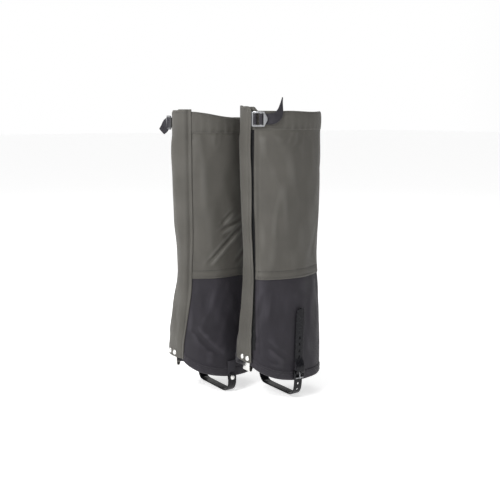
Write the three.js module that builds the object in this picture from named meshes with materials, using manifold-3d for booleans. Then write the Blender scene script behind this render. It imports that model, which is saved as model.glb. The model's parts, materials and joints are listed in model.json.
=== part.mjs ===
// A pair of knee-high hiking gaiters, worn height, toes toward -Y, wearer's left toward +X.
// Millimetres, +Z up. The origin is the ground point between the wearer's feet.
// Both gaiters come from one function: it builds the left one round its own upright centre
// line with the lateral (outer) side toward +X, and mirrors it for the right one.
import * as THREE from 'three';
import { mergeVertices } from 'three/addons/utils/BufferGeometryUtils.js';
import Module from 'manifold-3d';

const wasm = await Module();
wasm.setup();

// ---- Stance -------------------------------------------------------------------------
const STANCE_X = 48;               // each gaiter's centre line, sideways from the origin
const STANCE_Y = 35.8;             // and along the step: left one back, right one forward
const STANCE_LIFT = { left: 6, right: 0 };    // the left foot's arch is a little higher

// ---- Leg tube -----------------------------------------------------------------------
const SIDE = 46;                   // half width at the calf
const FRONT = 69;                  // centre line to shin
const BACK = 74;                   // centre line to calf
const SIDE_FLARE = 1;              // extra at the hem
const FRONT_FLARE = 6;
const BACK_FLARE = 6;
const BOXINESS = 0.16;             // how square the front of the section gets over the shoe
const CUFF_TOP = 477;
const CUFF_SEAM = 449;
const BREAK_Z = 205;               // where the upper fabric meets the scuff fabric
const HEM_FRONT = 66;
const HEM_HEEL = 26;
const HEM_SWEEP = 4;               // how quickly the hem drops from the toe to the sides
const HEM_BAND = 15;
const SEAM_GAP = 0.3;
const WALL = 1;                    // half the thickness of the fabric wall

// ---- Front closure: lines are stated as sideways places at the cuff and at the hem -----
const FOLD_LINE = [-15.7, -2.5];   // where the flap folds open
const PANEL_EDGE = [-1.6, 11.8];   // free edge of the front panel, under the flap
const FLAP_EDGE = [13, 26];        // free edge of the flap
const FLAP_INSET = 1.2;            // from the fold or hinge line to the flap's sewn edge
const FLAP_AXIS_X = [-15.7, -8.7]; // the straight hinge line at the flap's top and bottom
const FLAP_TOP = 484;
const FLAP_BOTTOM = 66;
const TAPE_BOTTOM = 88;
const ROW_STEP = 19.5;             // spacing of the rings where the front leans
const PANEL_HINGE = 80;            // degrees round from the toe to the panel's hinge line
const HINGE_GAP = 1.25;            // degrees of gap each side of that line
const TAPE_LAYER = [1.7, 2.5];     // distances out from the middle of the wall
const LOOP_LAYER = [2.8, 3.6];
const FLAP_LAYER = [3.9, 5.4];

// ---- Cuff casing, its strap and the ladder buckle --------------------------------------
const CASING_OUTER = [0.2, 1.4];
const CASING_INNER = [-3.2, -2.0];
const CASING_FOLD = 1.4;           // depth of the fold along the top of the cuff
const WEBBING = 16;                // webbing width
const WEB_THICK = 1;
const CINCH_Z = 464.5;             // middle height of the strap and buckle
const CINCH_ANGLE = 31;            // degrees round to the buckle's middle
const EXIT_ANGLE = [43.5, 52.5];   // slot in the casing where the strap comes out
const BUCKLE_REST = { left: 0, right: 30 };   // degrees that the buckle stands off the cuff
const BUCKLE_LIFT = { left: 0, right: 3 };    // and how far out its anchor strap holds it
const FRAME_H = 3.4;               // buckle's underside above the cuff
const FRAME_THICK = 1.8;
const FRAME_HALF = 11.75;
const RAIL = 2.5;
const BAR_ONE = -7.6;              // anchor bar, along the strap from the buckle's middle
const BAR_TWO = 2.2;               // adjusting bar
const BAR_RADIUS = 1.1;

// ---- Lace hook ------------------------------------------------------------------------
const HOOK_X = 10;
const HOOK_HALF = 9.5;
const HOOK_FACE = 3.3;             // distance out of its front face from the middle of the wall
const HOOK_THICK = 1;
const HOOK_BEND = 2.7;             // inside radius of its bend
const HOOK_LOW = 52.8;             // height where the bend starts
const HOOK_LIP = 57.6;             // top of the inner lip, below the hem so a lace can get in
const HOOK_TOP = 84;
const RIVET_SPREAD = 7.2;
const RIVET_Z = 73.5;
const RIVET_SHAFT = 1.7;
const CLEAR = 0.3;                 // play between parts that touch

// ---- Instep strap ---------------------------------------------------------------------
const STRAP_Y = 2;
const STRAP_WIDTH = 16;
const STRAP_THICK = 1.8;
const SWING_Z = 27;                // height of the line that the under-foot loop swings on
const LATERAL_X = 49.6;            // middle of the strap behind the buckle
const MEDIAL_X = -51.8;            // and in front of the medial tab
const TOP_BAR = [52.3, 45.5];      // x and z of the buckle's tongue bar
const ROLLER = [52.3, 33.5];
const HOLE_PITCH = 11;
const TAIL_HINGE_Z = 51.6;
const TAIL_TOP = 153;
const TAIL_X = 50.3;               // middle of the tail where it lies against the leg
const TAB_WIDTH = 14;
const TAB_BORE = 1.4;              // radius inside the eyes round the tongue bar
const MEDIAL_TAB_X = -49.95;
const MEDIAL_RIVET_X = -53;        // underside of the rivet's outer head
const RIVET_BORE = 2.3;            // hole in the strap and tab for the medial rivet

// ---- Materials ------------------------------------------------------------------------
const FINISH = {
  olive: { color: 0x63635a, roughness: 0.62, metalness: 0 },
  charcoal: { color: 0x3d3b41, roughness: 0.8, metalness: 0 },
  tape: { color: 0x18181a, roughness: 0.95, metalness: 0 },
  webbing: { color: 0x26242a, roughness: 0.8, metalness: 0 },
  polymer: { color: 0x17171a, roughness: 0.35, metalness: 0 },
  blackMetal: { color: 0x1c1c1e, roughness: 0.4, metalness: 0.6 },
  steel: { color: 0xb9bbbd, roughness: 0.3, metalness: 0.9 },
  nickel: { color: 0xcfd0d0, roughness: 0.18, metalness: 1 },
};

// ---- Numbers --------------------------------------------------------------------------
const lerp = THREE.MathUtils.lerp;
const rad = THREE.MathUtils.degToRad;

function smooth(t) {
  const s = THREE.MathUtils.clamp(t, 0, 1);
  return s * s * (3 - 2 * s);
}

function flare(z) {
  return smooth((BREAK_Z - z) / (BREAK_Z - HEM_FRONT));
}

// Point on the middle of the wall; the angle is 0 at the toe and grows toward the lateral side.
function wallPoint(angle, z) {
  const f = flare(z);
  const toeSide = Math.cos(angle) > 0;
  const reach = toeSide ? FRONT + FRONT_FLARE * f : BACK + BACK_FLARE * f;
  const square = toeSide ? 1 + BOXINESS * f * Math.sin(2 * angle) ** 2 : 1;
  return new THREE.Vector2(
    (SIDE + SIDE_FLARE * f) * Math.sin(angle) * square,
    -reach * Math.cos(angle) * square,
  );
}

function wallNormal(angle, z) {
  const step = 0.01;
  const along = wallPoint(angle + step, z).sub(wallPoint(angle - step, z)).normalize();
  return new THREE.Vector2(along.y, -along.x);
}

function skinPoint(angle, z, out) {
  const p = wallPoint(angle, z).addScaledVector(wallNormal(angle, z), out);
  return new THREE.Vector3(p.x, p.y, z);
}

// Angle at which the front wall stands at a given sideways place.
function angleAtX(x, z) {
  let angle = 0;
  for (let i = 0; i < 12; i += 1) {
    const unit = wallPoint(angle, z).x / Math.max(Math.abs(Math.sin(angle)), 1e-6);
    angle = Math.asin(THREE.MathUtils.clamp(x / Math.max(Math.abs(unit), SIDE), -1, 1));
  }
  return angle;
}

function frontLine([top, bottom], shift = 0) {
  return (z) => angleAtX(lerp(top, bottom, flare(z)) + shift, z);
}

// The flap may start only on the lateral side of its straight hinge line.
function flapStart(z) {
  const fold = lerp(FOLD_LINE[0], FOLD_LINE[1], flare(z));
  const t = (FLAP_TOP - z) / (FLAP_TOP - FLAP_BOTTOM);
  const axis = lerp(FLAP_AXIS_X[0], FLAP_AXIS_X[1], t);
  return angleAtX(Math.max(fold, axis) + FLAP_INSET, z);
}

function hemHeight(angle) {
  return HEM_HEEL + (HEM_FRONT - HEM_HEEL) * ((1 + Math.cos(angle)) / 2) ** HEM_SWEEP;
}

// ---- Mesh helpers ---------------------------------------------------------------------
function plain(geometry) {
  const g = geometry.clone();
  for (const name of Object.keys(g.attributes)) {
    if (name !== 'position') g.deleteAttribute(name);
  }
  g.clearGroups();
  return mergeVertices(g, 1e-4);
}

function bend(geometry, place) {
  const g = plain(geometry);
  const position = g.getAttribute('position');
  for (let i = 0; i < position.count; i += 1) {
    const p = place(position.getX(i), position.getY(i), position.getZ(i));
    position.setXYZ(i, p.x, p.y, p.z);
  }
  return g;
}

function solid(geometry) {
  const g = plain(geometry);
  return new wasm.Manifold(new wasm.Mesh({
    numProp: 3,
    vertProperties: new Float32Array(g.getAttribute('position').array),
    triVerts: new Uint32Array(g.getIndex().array),
  }));
}

function geometryOf(manifold) {
  const mesh = manifold.getMesh();
  const g = new THREE.BufferGeometry();
  g.setAttribute('position', new THREE.BufferAttribute(new Float32Array(mesh.vertProperties), 3));
  g.setIndex(new THREE.BufferAttribute(new Uint32Array(mesh.triVerts), 1));
  return g;
}

function join(...pieces) {
  return geometryOf(pieces.map(solid).reduce((a, b) => a.add(b)));
}

function cut(body, ...tools) {
  return geometryOf(tools.map(solid).reduce((a, b) => a.subtract(b), solid(body)));
}

function box(low, high) {
  const size = high.map((value, i) => value - low[i]);
  const middle = high.map((value, i) => (value + low[i]) / 2);
  return new THREE.BoxGeometry(...size).translate(...middle);
}

function extrude(shape, depth, options = {}) {
  return new THREE.ExtrudeGeometry(shape, { depth, bevelEnabled: false, ...options });
}

// A flat outline, with one window in it if asked for; both run the way three.js expects.
function outline(points, window = null) {
  const turned = (list, clockwise) => {
    const path = list.map(([x, y]) => new THREE.Vector2(x, y));
    return THREE.ShapeUtils.isClockWise(path) === clockwise ? path : path.reverse();
  };
  const shape = new THREE.Shape(turned(points, false));
  if (window) shape.holes.push(new THREE.Path(turned(window, true)));
  return shape;
}

// A slab that lies round the leg between two layers; edges may depend on height or angle.
// Rows, if given, are the heights of its rings, so that stacked slabs bend at the same places.
function wrap({ from, to, low, high, layer, around, up = 1, rows = null }) {
  const at = (edge, value) => (typeof edge === 'function' ? edge(value) : edge);
  const rings = rows ? rows.length - 1 : up;
  return bend(new THREE.BoxGeometry(1, 1, 1, around, rings, 1), (u, v, w) => {
    let z = rows ? rows[Math.round((v + 0.5) * rings)] : BREAK_Z;
    let angle = lerp(at(from, z), at(to, z), u + 0.5);
    for (let i = 0; i < 6 && !rows; i += 1) {
      z = lerp(at(low, angle), at(high, angle), v + 0.5);
      angle = lerp(at(from, z), at(to, z), u + 0.5);
    }
    return skinPoint(angle, z, lerp(layer[0], layer[1], w + 0.5));
  });
}

// A profile of (distance out, height) points that runs round the leg.
function sweep(profile, from, to, steps) {
  const strip = extrude(outline(profile), 1, { steps });
  return bend(strip, (out, z, t) => skinPoint(lerp(to, from, t), z, out));
}

// Both edges of a flat band of even thickness along a route of [x, y] points.
function bandShape(route, thickness) {
  const points = route.map(([x, y]) => new THREE.Vector2(x, y));
  const stretch = (i) => points[i + 1].clone().sub(points[i]).normalize();
  const edge = (side) => points.map((p, i) => {
    const before = stretch(Math.max(i - 1, 0));
    const after = stretch(Math.min(i, points.length - 2));
    const along = before.add(after).normalize();
    const reach = side / along.dot(after);
    return new THREE.Vector2(p.x - along.y * reach, p.y + along.x * reach);
  });
  return new THREE.Shape([...edge(-thickness / 2), ...edge(thickness / 2).reverse()]);
}

// A band seen from above, standing upright between two heights.
function uprightBand(route, thickness, low, high) {
  return extrude(bandShape(route, thickness), high - low).translate(0, 0, low);
}

// A shape drawn in the XZ plane, given a width along Y about the strap's middle.
function acrossStrap(shape, width) {
  return extrude(shape, width, { curveSegments: 8 })
    .rotateX(Math.PI / 2)
    .translate(0, STRAP_Y + width / 2, 0);
}

function rodAlongY(radius, length, [x, z], sides = 12) {
  return new THREE.CylinderGeometry(radius, radius, length, sides).translate(x, STRAP_Y, z);
}

function discAlongX(radius, thickness, x, z, sides = 20) {
  return new THREE.CylinderGeometry(radius, radius, thickness, sides)
    .rotateZ(Math.PI / 2)
    .translate(x, STRAP_Y, z);
}

function ring(inner, outer, width, [x, z]) {
  const shape = new THREE.Shape().absarc(x, z, outer, 0, Math.PI * 2, false);
  shape.holes.push(new THREE.Path().absarc(x, z, inner, 0, Math.PI * 2, true));
  return acrossStrap(shape, width);
}

// An oval punched hole through a strap that faces sideways.
function strapHole(x, z) {
  return new THREE.CylinderGeometry(2, 2, 8, 10)
    .rotateZ(Math.PI / 2)
    .scale(1, 1, 1.35)
    .translate(x, STRAP_Y, z);
}

// A domed rivet that points toward -Y: outer head, shaft, flat inner head.
function rivet({ head, dome, shaft, outerAt, innerAt, innerHead, innerThick }) {
  const profile = [
    [0, innerAt - innerThick], [innerHead, innerAt - innerThick], [innerHead, innerAt],
    [shaft, innerAt], [shaft, outerAt], [head, outerAt], [head * 0.96, outerAt + dome * 0.5],
    [head * 0.6, outerAt + dome * 0.9], [0, outerAt + dome],
  ].map(([r, z]) => new THREE.Vector2(r, z));
  return new THREE.LatheGeometry(profile, 14).rotateX(Math.PI);
}

// ---- Fabric ---------------------------------------------------------------------------
const HINGE = rad(PANEL_HINGE);
const GAP = rad(HINGE_GAP);
const TURN = Math.PI * 2;
const shellEnd = (z) => TURN + frontLine(FOLD_LINE, -0.8)(z);
const panelStart = frontLine(PANEL_EDGE);
const bandTop = (angle) => hemHeight(angle) + HEM_BAND;

function fabricPieces() {
  const shell = { from: HINGE + GAP, to: shellEnd, layer: [-WALL, WALL], around: 24 };
  const panel = { from: panelStart, to: HINGE - GAP, layer: [-WALL, WALL], around: 8 };
  const upper = { low: BREAK_Z + SEAM_GAP / 2, high: CUFF_SEAM - SEAM_GAP, up: 2 };
  const lower = { low: (angle) => bandTop(angle) + SEAM_GAP, high: BREAK_Z - SEAM_GAP / 2, up: 5 };
  const hem = { low: hemHeight, high: bandTop };
  const casing = [
    [CASING_INNER[0], CUFF_SEAM], [CASING_INNER[1], CUFF_SEAM],
    [CASING_INNER[1], CUFF_TOP - CASING_FOLD], [CASING_OUTER[0], CUFF_TOP - CASING_FOLD],
    [CASING_OUTER[0], CUFF_SEAM], [CASING_OUTER[1], CUFF_SEAM],
    [CASING_OUTER[1], CUFF_TOP], [CASING_INNER[0], CUFF_TOP],
  ];
  const exitSlot = wrap({
    from: rad(EXIT_ANGLE[0]), to: rad(EXIT_ANGLE[1]), layer: [-1, 4], around: 2,
    low: CINCH_Z - WEBBING / 2 - 1, high: CINCH_Z + WEBBING / 2 + 1,
  });
  const cuffFront = sweep(casing, panelStart(CUFF_TOP), HINGE - GAP, 8);
  return [
    ['upper_shell', 'olive', wrap({ ...shell, ...upper })],
    ['lower_shell', 'charcoal', wrap({ ...shell, ...lower })],
    ['hem_band', 'charcoal', wrap({ ...shell, ...hem })],
    ['cuff_casing', 'olive', sweep(casing, HINGE + GAP, shellEnd(CUFF_TOP), 24)],
    ['upper_front', 'olive', wrap({ ...panel, ...upper })],
    ['lower_front', 'charcoal', wrap({ ...panel, ...lower })],
    ['hem_front', 'charcoal', wrap({ ...panel, ...hem })],
    ['cuff_front', 'olive', cut(cuffFront, exitSlot)],
  ];
}

// ---- Flap, tapes, lace hook --------------------------------------------------------------
function rivetAxis(x) {
  const angle = angleAtX(x, RIVET_Z);
  const normal = wallNormal(angle, RIVET_Z);
  return { foot: skinPoint(angle, RIVET_Z, 0), turn: Math.atan2(normal.x, -normal.y) };
}

// The hook is one bent strip: up behind the flap, down past its edge, and back up inside.
function hookProfile() {
  const centre = HOOK_FACE - HOOK_BEND - HOOK_THICK;
  const arc = (radius) => Array.from({ length: 7 }, (_, i) => {
    const a = Math.PI * (i / 6);
    return [centre + radius * Math.cos(a), HOOK_LOW - radius * Math.sin(a)];
  });
  const outside = arc(HOOK_BEND + HOOK_THICK);
  const inside = arc(HOOK_BEND);
  return [
    [HOOK_FACE, HOOK_TOP], [HOOK_FACE - HOOK_THICK, HOOK_TOP], ...inside,
    [inside[6][0], HOOK_LIP], [outside[6][0], HOOK_LIP], ...outside.reverse(),
  ];
}

function closurePieces() {
  const rows = [TAPE_BOTTOM];
  while (rows[rows.length - 1] + ROW_STEP < BREAK_Z) rows.push(rows[rows.length - 1] + ROW_STEP);
  rows.push(BREAK_Z);
  const flap = wrap({
    from: flapStart, to: frontLine(FLAP_EDGE), rows: [FLAP_BOTTOM, ...rows, FLAP_TOP],
    layer: FLAP_LAYER, around: 6,
  });
  const loop = wrap({
    from: frontLine(PANEL_EDGE, 1.5), to: frontLine(FLAP_EDGE, -1), rows: [...rows, FLAP_TOP - 1],
    layer: LOOP_LAYER, around: 3,
  });
  const hookTape = wrap({
    from: frontLine(PANEL_EDGE, 1), to: frontLine(FLAP_EDGE, 0.8), rows: [...rows, CUFF_SEAM],
    layer: TAPE_LAYER, around: 3,
  });
  const hook = sweep(
    hookProfile(), angleAtX(HOOK_X - HOOK_HALF, RIVET_Z), angleAtX(HOOK_X + HOOK_HALF, RIVET_Z), 6,
  );
  const shafts = [-RIVET_SPREAD, RIVET_SPREAD].map((spread) => {
    const axis = rivetAxis(HOOK_X + spread);
    return new THREE.CylinderGeometry(RIVET_SHAFT + CLEAR, RIVET_SHAFT + CLEAR, 20, 10)
      .rotateZ(axis.turn)
      .translate(axis.foot.x, axis.foot.y, axis.foot.z);
  });
  return [
    ['storm_flap', 'olive', cut(flap, ...shafts)],
    ['loop_tape', 'tape', loop],
    ['hook_tape', 'tape', hookTape],
    ['lace_hook', 'nickel', cut(hook, ...shafts)],
  ];
}

// ---- Cuff strap and ladder buckle ----------------------------------------------------------
// The buckle's own frame: x runs back along the cuff, -y points out from it, z is up.
function buckleFrame(side) {
  const angle = rad(CINCH_ANGLE);
  const normal = wallNormal(angle, CINCH_Z);
  const origin = skinPoint(angle, CINCH_Z, CASING_OUTER[1] + BUCKLE_LIFT[side]);
  return { origin, turn: Math.atan2(normal.x, -normal.y) };
}

function onCuff(geometry, side) {
  const { origin, turn } = buckleFrame(side);
  return geometry.rotateZ(turn).translate(origin.x, origin.y, origin.z);
}

function cuffRoute(degrees, out) {
  return degrees.map((d, i) => {
    const p = skinPoint(rad(d), CINCH_Z, Array.isArray(out) ? out[i] : out);
    return [p.x, p.y];
  });
}

function fromBuckle(along, out, side) {
  const { origin, turn } = buckleFrame(side);
  return [
    origin.x + along * Math.cos(turn) + out * Math.sin(turn),
    origin.y + along * Math.sin(turn) - out * Math.cos(turn),
  ];
}

// Stands the buckle and what is threaded on it off the cuff, about the anchor bar.
function tilted(geometry, side) {
  const out = FRAME_H + FRAME_THICK / 2;
  const turned = geometry.translate(-BAR_ONE, out, 0).rotateZ(-rad(BUCKLE_REST[side]));
  return onCuff(turned.translate(BAR_ONE, -out, 0), side);
}

// A flat frame with a blunt point, an anchor bar and an adjusting bar.
function ladderBuckle() {
  const tip = 12.8;
  const shoulder = 7.4;
  const left = -12.6;
  const window = [-10.4, 6.4];
  const inner = FRAME_HALF - RAIL;
  const points = [
    [left, -FRAME_HALF + 1], [left + 2, -FRAME_HALF], [shoulder, -FRAME_HALF], [tip, -2],
    [tip, 2], [shoulder, FRAME_HALF], [left + 2, FRAME_HALF], [left, FRAME_HALF - 1],
  ];
  const hole = [[window[0], -inner], [window[0], inner], [window[1], inner], [window[1], -inner]];
  const plate = extrude(outline(points, hole), FRAME_THICK)
    .rotateX(Math.PI / 2)
    .translate(0, -FRAME_H, 0);
  const middle = -FRAME_H - FRAME_THICK / 2;
  const length = inner * 2 + 1;
  const barOne = new THREE.CylinderGeometry(BAR_RADIUS, BAR_RADIUS, length, 10)
    .rotateX(Math.PI / 2)
    .translate(BAR_ONE, middle, 0);
  const barTwo = new THREE.BoxGeometry(3.5, FRAME_THICK * 0.9, length).translate(BAR_TWO, middle, 0);
  return join(plate, barOne, barTwo);
}

// A short strap sewn to the front panel, its eye round the buckle's anchor bar.
function anchorLoop(side) {
  const centre = fromBuckle(BAR_ONE, FRAME_H + FRAME_THICK / 2, side);
  const eye = new THREE.Shape().absarc(centre[0], centre[1], 2.5, 0, TURN, false);
  eye.holes.push(new THREE.Path().absarc(centre[0], centre[1], 1.5, 0, TURN, true));
  const loop = extrude(eye, WEBBING, { curveSegments: 7 }).translate(0, 0, CINCH_Z - WEBBING / 2);
  const route = [...cuffRoute([1.5, 5, 9, 13, 16.5], 2.2), fromBuckle(-8.6, 2.35, side)];
  return join(uprightBand(route, 0.9, CINCH_Z - WEBBING / 2, CINCH_Z + WEBBING / 2), loop);
}

// The strap's turn round the adjusting bar, with the stub that its loose end starts from.
function strapLoop() {
  const outer = [
    [-0.85, -2.1], [3.6, -1.9], [13.6, -1.9], [13.6, -2.9], [5.25, -2.9], [5.25, -6.2],
    [4.9, -6.5], [-0.5, -6.5], [-0.85, -6.2],
  ];
  const hole = [[0.15, -3.1], [4.25, -3.1], [4.25, -5.5], [0.15, -5.5]];
  return extrude(outline(outer, hole), WEBBING).translate(0, 0, -WEBBING / 2);
}

// The loose end: a band that drifts up or down and narrows as it leaves the buckle.
const TAIL_ROUTE = {
  left: {
    route: [[14, 2.4], [18, 1.7], [22, 0.3], [26, -1.8], [30, -4.8], [34, -8.6]],
    rise: 33,
    narrow: 0.8,
  },
  right: {
    route: [[14, 2.4], [17, 3], [20, 4.8], [22.5, 7.6], [24.5, 11.6]],
    rise: -17,
    narrow: 0.25,
  },
};

function looseEnd(side) {
  const { route, rise, narrow } = TAIL_ROUTE[side];
  const start = route[0][0];
  const reach = route[route.length - 1][0] - start;
  const band = uprightBand(route.map(([x, h]) => [x, -h]), WEB_THICK, -WEBBING / 2, WEBBING / 2);
  return bend(band, (x, y, z) => {
    const s = THREE.MathUtils.clamp((x - start) / reach, 0, 1) ** 2;
    return new THREE.Vector3(x, y, z * (1 - narrow * s) + rise * s);
  });
}

function cinchPieces(side) {
  const half = WEBBING / 2;
  const rear = wrap({
    from: HINGE + GAP * 2, to: shellEnd(CUFF_TOP) - GAP, layer: [-1.4, -0.4], around: 24,
    low: CINCH_Z - half, high: CINCH_Z + half,
  });
  const frontRoute = [
    ...cuffRoute([77, 71, 65, 58, 52], -0.9),
    ...cuffRoute([49, 46.5, 42.5, 37], [0.2, 1.9, 2.5, 2.5]),
  ];
  const front = uprightBand(frontRoute, WEB_THICK, CINCH_Z - half, CINCH_Z + half);
  return [
    ['cinch_strap_rear', 'webbing', rear],
    ['cinch_strap_front', 'webbing', front],
    ['cinch_anchor', 'webbing', anchorLoop(side)],
    ['cinch_buckle', 'steel', tilted(ladderBuckle(), side)],
    ['cinch_strap_loop', 'webbing', tilted(strapLoop(), side)],
    ['cinch_tail', 'webbing', tilted(looseEnd(side), side)],
  ];
}

// ---- Instep strap, its tabs, buckle and tail ---------------------------------------------
function underFootLoop() {
  const half = STRAP_THICK / 2;
  const route = [[LATERAL_X, SWING_Z], [LATERAL_X - 0.8, 20], [LATERAL_X - 2.6, 11]];
  const bottom = [[42.5, 4], [37, half], [0, half]];
  const medial = [
    [-39, half], [-44.8, 4], [MEDIAL_X + 1.8, 11], [MEDIAL_X, 18.5], [MEDIAL_X, SWING_Z],
  ];
  const run = acrossStrap(bandShape([...route, ...bottom, ...medial], STRAP_THICK), STRAP_WIDTH);
  const ends = [LATERAL_X, MEDIAL_X].map((x) => discAlongX(STRAP_WIDTH / 2, STRAP_THICK, x, SWING_Z));
  const eye = discAlongX(RIVET_BORE, 4, MEDIAL_X, SWING_Z, 12);
  return cut(join(run, ...ends), eye, strapHole(LATERAL_X - 1.6, 15));
}

// From behind the roller, out over the tongue bar, to where the tail begins.
function threadedStrap() {
  const route = [[LATERAL_X, 29.5], [LATERAL_X, 37], [51.3, 39.3], [54.9, 42.4], [56, 45.2], [56, 51.3]];
  const band = acrossStrap(bandShape(route, STRAP_THICK), STRAP_WIDTH);
  const socket = discAlongX(STRAP_WIDTH / 2 + CLEAR, 4, LATERAL_X, SWING_Z, 24);
  const horns = [1, -1].map((side) => {
    const low = STRAP_Y + side * (STRAP_WIDTH / 2 - 1.4);
    const high = STRAP_Y + side * (STRAP_WIDTH / 2 + 1);
    return box([48, Math.min(low, high), 29], [51.5, Math.max(low, high), 34]);
  });
  const slot = box([50, STRAP_Y - 1.4, 38.8], [58, STRAP_Y + 1.4, 44.9]);
  return cut(band, socket, ...horns, slot);
}

// The loose end, held against the leg, with a round tip.
function strapTail() {
  const tipZ = TAIL_TOP - STRAP_WIDTH / 2;
  const route = [[56, TAIL_HINGE_Z], [55.5, 55], [53.2, 60], [51.1, 65], [TAIL_X, 71], [TAIL_X, tipZ]];
  const band = acrossStrap(bandShape(route, STRAP_THICK), STRAP_WIDTH);
  const tip = discAlongX(STRAP_WIDTH / 2, STRAP_THICK, TAIL_X, tipZ);
  const holes = [];
  for (let i = 0; i < 4; i += 1) holes.push(strapHole(50.6, 70 + i * HOLE_PITCH));
  return cut(join(band, tip), ...holes);
}

// Sewn to the hem, with two eyes round the tongue bar and a notch for the tongue between.
function lateralTab() {
  const z = TOP_BAR[1];
  const side = [
    [48.7, 61], [49.9, 61], [50.3, 52], [52.6, z + 2.2], [50.6, z + 1.7], [49.95, z - 0.4], [48.7, 48],
  ];
  const leg = acrossStrap(outline(side), TAB_WIDTH);
  const slot = box([47, STRAP_Y - 2.3, z - 4], [57, STRAP_Y + 2.3, z + 3.4]);
  const bore = rodAlongY(TAB_BORE, 20, TOP_BAR);
  return cut(join(leg, ring(TAB_BORE, TAB_BORE + 1, TAB_WIDTH, TOP_BAR)), slot, bore);
}

// Two side rails joined by the tongue bar above and the roller's bar below.
function instepBuckle() {
  const inside = STRAP_WIDTH / 2 + 0.6;
  const outside = inside + 2.4;
  const low = ROLLER[1] - 2.1;
  const high = TOP_BAR[1] + 1.9;
  const rail = (side) => {
    const edges = [STRAP_Y + side * inside, STRAP_Y + side * outside].sort((a, b) => a - b);
    return box([TOP_BAR[0] - 1.1, edges[0], low], [TOP_BAR[0] + 1.1, edges[1], high]);
  };
  const length = outside * 2 - 1;
  return join(rail(1), rail(-1), rodAlongY(1.1, length, TOP_BAR), rodAlongY(0.9, length, ROLLER));
}

function roller() {
  const profile = [[1.2, -8.2], [1.5, -8.2], [1.5, 8.2], [1.2, 8.2], [1.2, -8.2]];
  return new THREE.LatheGeometry(profile.map(([r, y]) => new THREE.Vector2(r, y)), 12)
    .translate(ROLLER[0], STRAP_Y, ROLLER[1]);
}

function tongue() {
  const start = new THREE.Vector2(TOP_BAR[0] + 1.3, TOP_BAR[1] - 1.4);
  const end = new THREE.Vector2(ROLLER[0] + 2.6, ROLLER[1] - 1.2);
  const length = start.distanceTo(end);
  const lean = Math.atan2(end.x - start.x, start.y - end.y);
  const rod = new THREE.CylinderGeometry(0.8, 0.8, length, 8)
    .rotateX(Math.PI / 2)
    .rotateY(-lean)
    .translate((start.x + end.x) / 2, STRAP_Y, (start.y + end.y) / 2);
  return cut(join(ring(TAB_BORE, 2.3, 3.6, TOP_BAR), rod), rodAlongY(TAB_BORE, 8, TOP_BAR));
}

function medialTab() {
  const half = 0.65;
  const reach = STRAP_WIDTH / 2;
  const strip = box(
    [MEDIAL_TAB_X - half, STRAP_Y - reach, SWING_Z], [MEDIAL_TAB_X + half, STRAP_Y + reach, 57],
  );
  const end = discAlongX(reach, half * 2, MEDIAL_TAB_X, SWING_Z);
  return cut(join(strip, end), discAlongX(RIVET_BORE, 4, MEDIAL_TAB_X, SWING_Z, 12));
}

function instepPieces() {
  const pin = rivet({
    head: 4, dome: 1.3, shaft: 2, outerAt: 0, innerAt: -4, innerHead: 3.6, innerThick: 0.7,
  }).rotateZ(-Math.PI / 2).translate(MEDIAL_RIVET_X, STRAP_Y, SWING_Z);
  return [
    ['lateral_tab', 'webbing', lateralTab()],
    ['instep_buckle', 'blackMetal', instepBuckle()],
    ['instep_strap_end', 'polymer', threadedStrap()],
    ['medial_tab', 'webbing', medialTab()],
    ['medial_rivet', 'nickel', pin],
    ['instep_roller', 'steel', roller()],
    ['instep_tongue', 'steel', tongue()],
    ['instep_strap', 'polymer', underFootLoop()],
    ['instep_tail', 'polymer', strapTail()],
  ];
}

function hookRivets() {
  return [-1, 1].map((side) => {
    const { foot, turn } = rivetAxis(HOOK_X + side * RIVET_SPREAD);
    const part = rivet({
      head: 4.5, dome: 2, shaft: RIVET_SHAFT, outerAt: FLAP_LAYER[1] + CLEAR + 0.4, innerAt: 1.85,
      innerHead: 2.8, innerThick: 0.5,
    }).rotateZ(turn).translate(foot.x, foot.y, foot.z);
    return [side < 0 ? 'hook_rivet_inner' : 'hook_rivet_outer', 'nickel', part];
  });
}

// ---- Assembly ---------------------------------------------------------------------------
function mirrored(geometry) {
  const g = plain(geometry);
  g.scale(-1, 1, 1);
  const index = g.getIndex();
  for (let i = 0; i < index.count; i += 3) {
    const first = index.getX(i);
    index.setX(i, index.getX(i + 1));
    index.setX(i + 1, first);
  }
  return g;
}

function makeGaiter(side) {
  const gaiter = new THREE.Group();
  const pieces = [
    ...fabricPieces(), ...closurePieces(), ...hookRivets(), ...cinchPieces(side), ...instepPieces(),
  ];
  for (const [name, finish, geometry] of pieces) {
    const shape = side === 'right' ? mirrored(geometry) : plain(geometry);
    const mesh = new THREE.Mesh(shape, new THREE.MeshStandardMaterial(FINISH[finish]));
    mesh.name = `${side}_${name}`;
    gaiter.add(mesh);
  }
  const sign = side === 'left' ? 1 : -1;
  gaiter.position.set(sign * STANCE_X, sign * STANCE_Y, STANCE_LIFT[side]);
  return gaiter;
}

const pair = new THREE.Group();
pair.add(makeGaiter('left'), makeGaiter('right'));
export default pair;
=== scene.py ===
"""Looks of a pair of knee-high hiking gaiters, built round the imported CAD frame.

Shapes are worked out in millimetres in each gaiter's own frame: its upright centre line is the
z axis, the toes point to -y and the lateral (outer) side is +x. place() turns that frame into
the row frame in metres and mirrors it for the right gaiter.
"""
import json
import math

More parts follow.
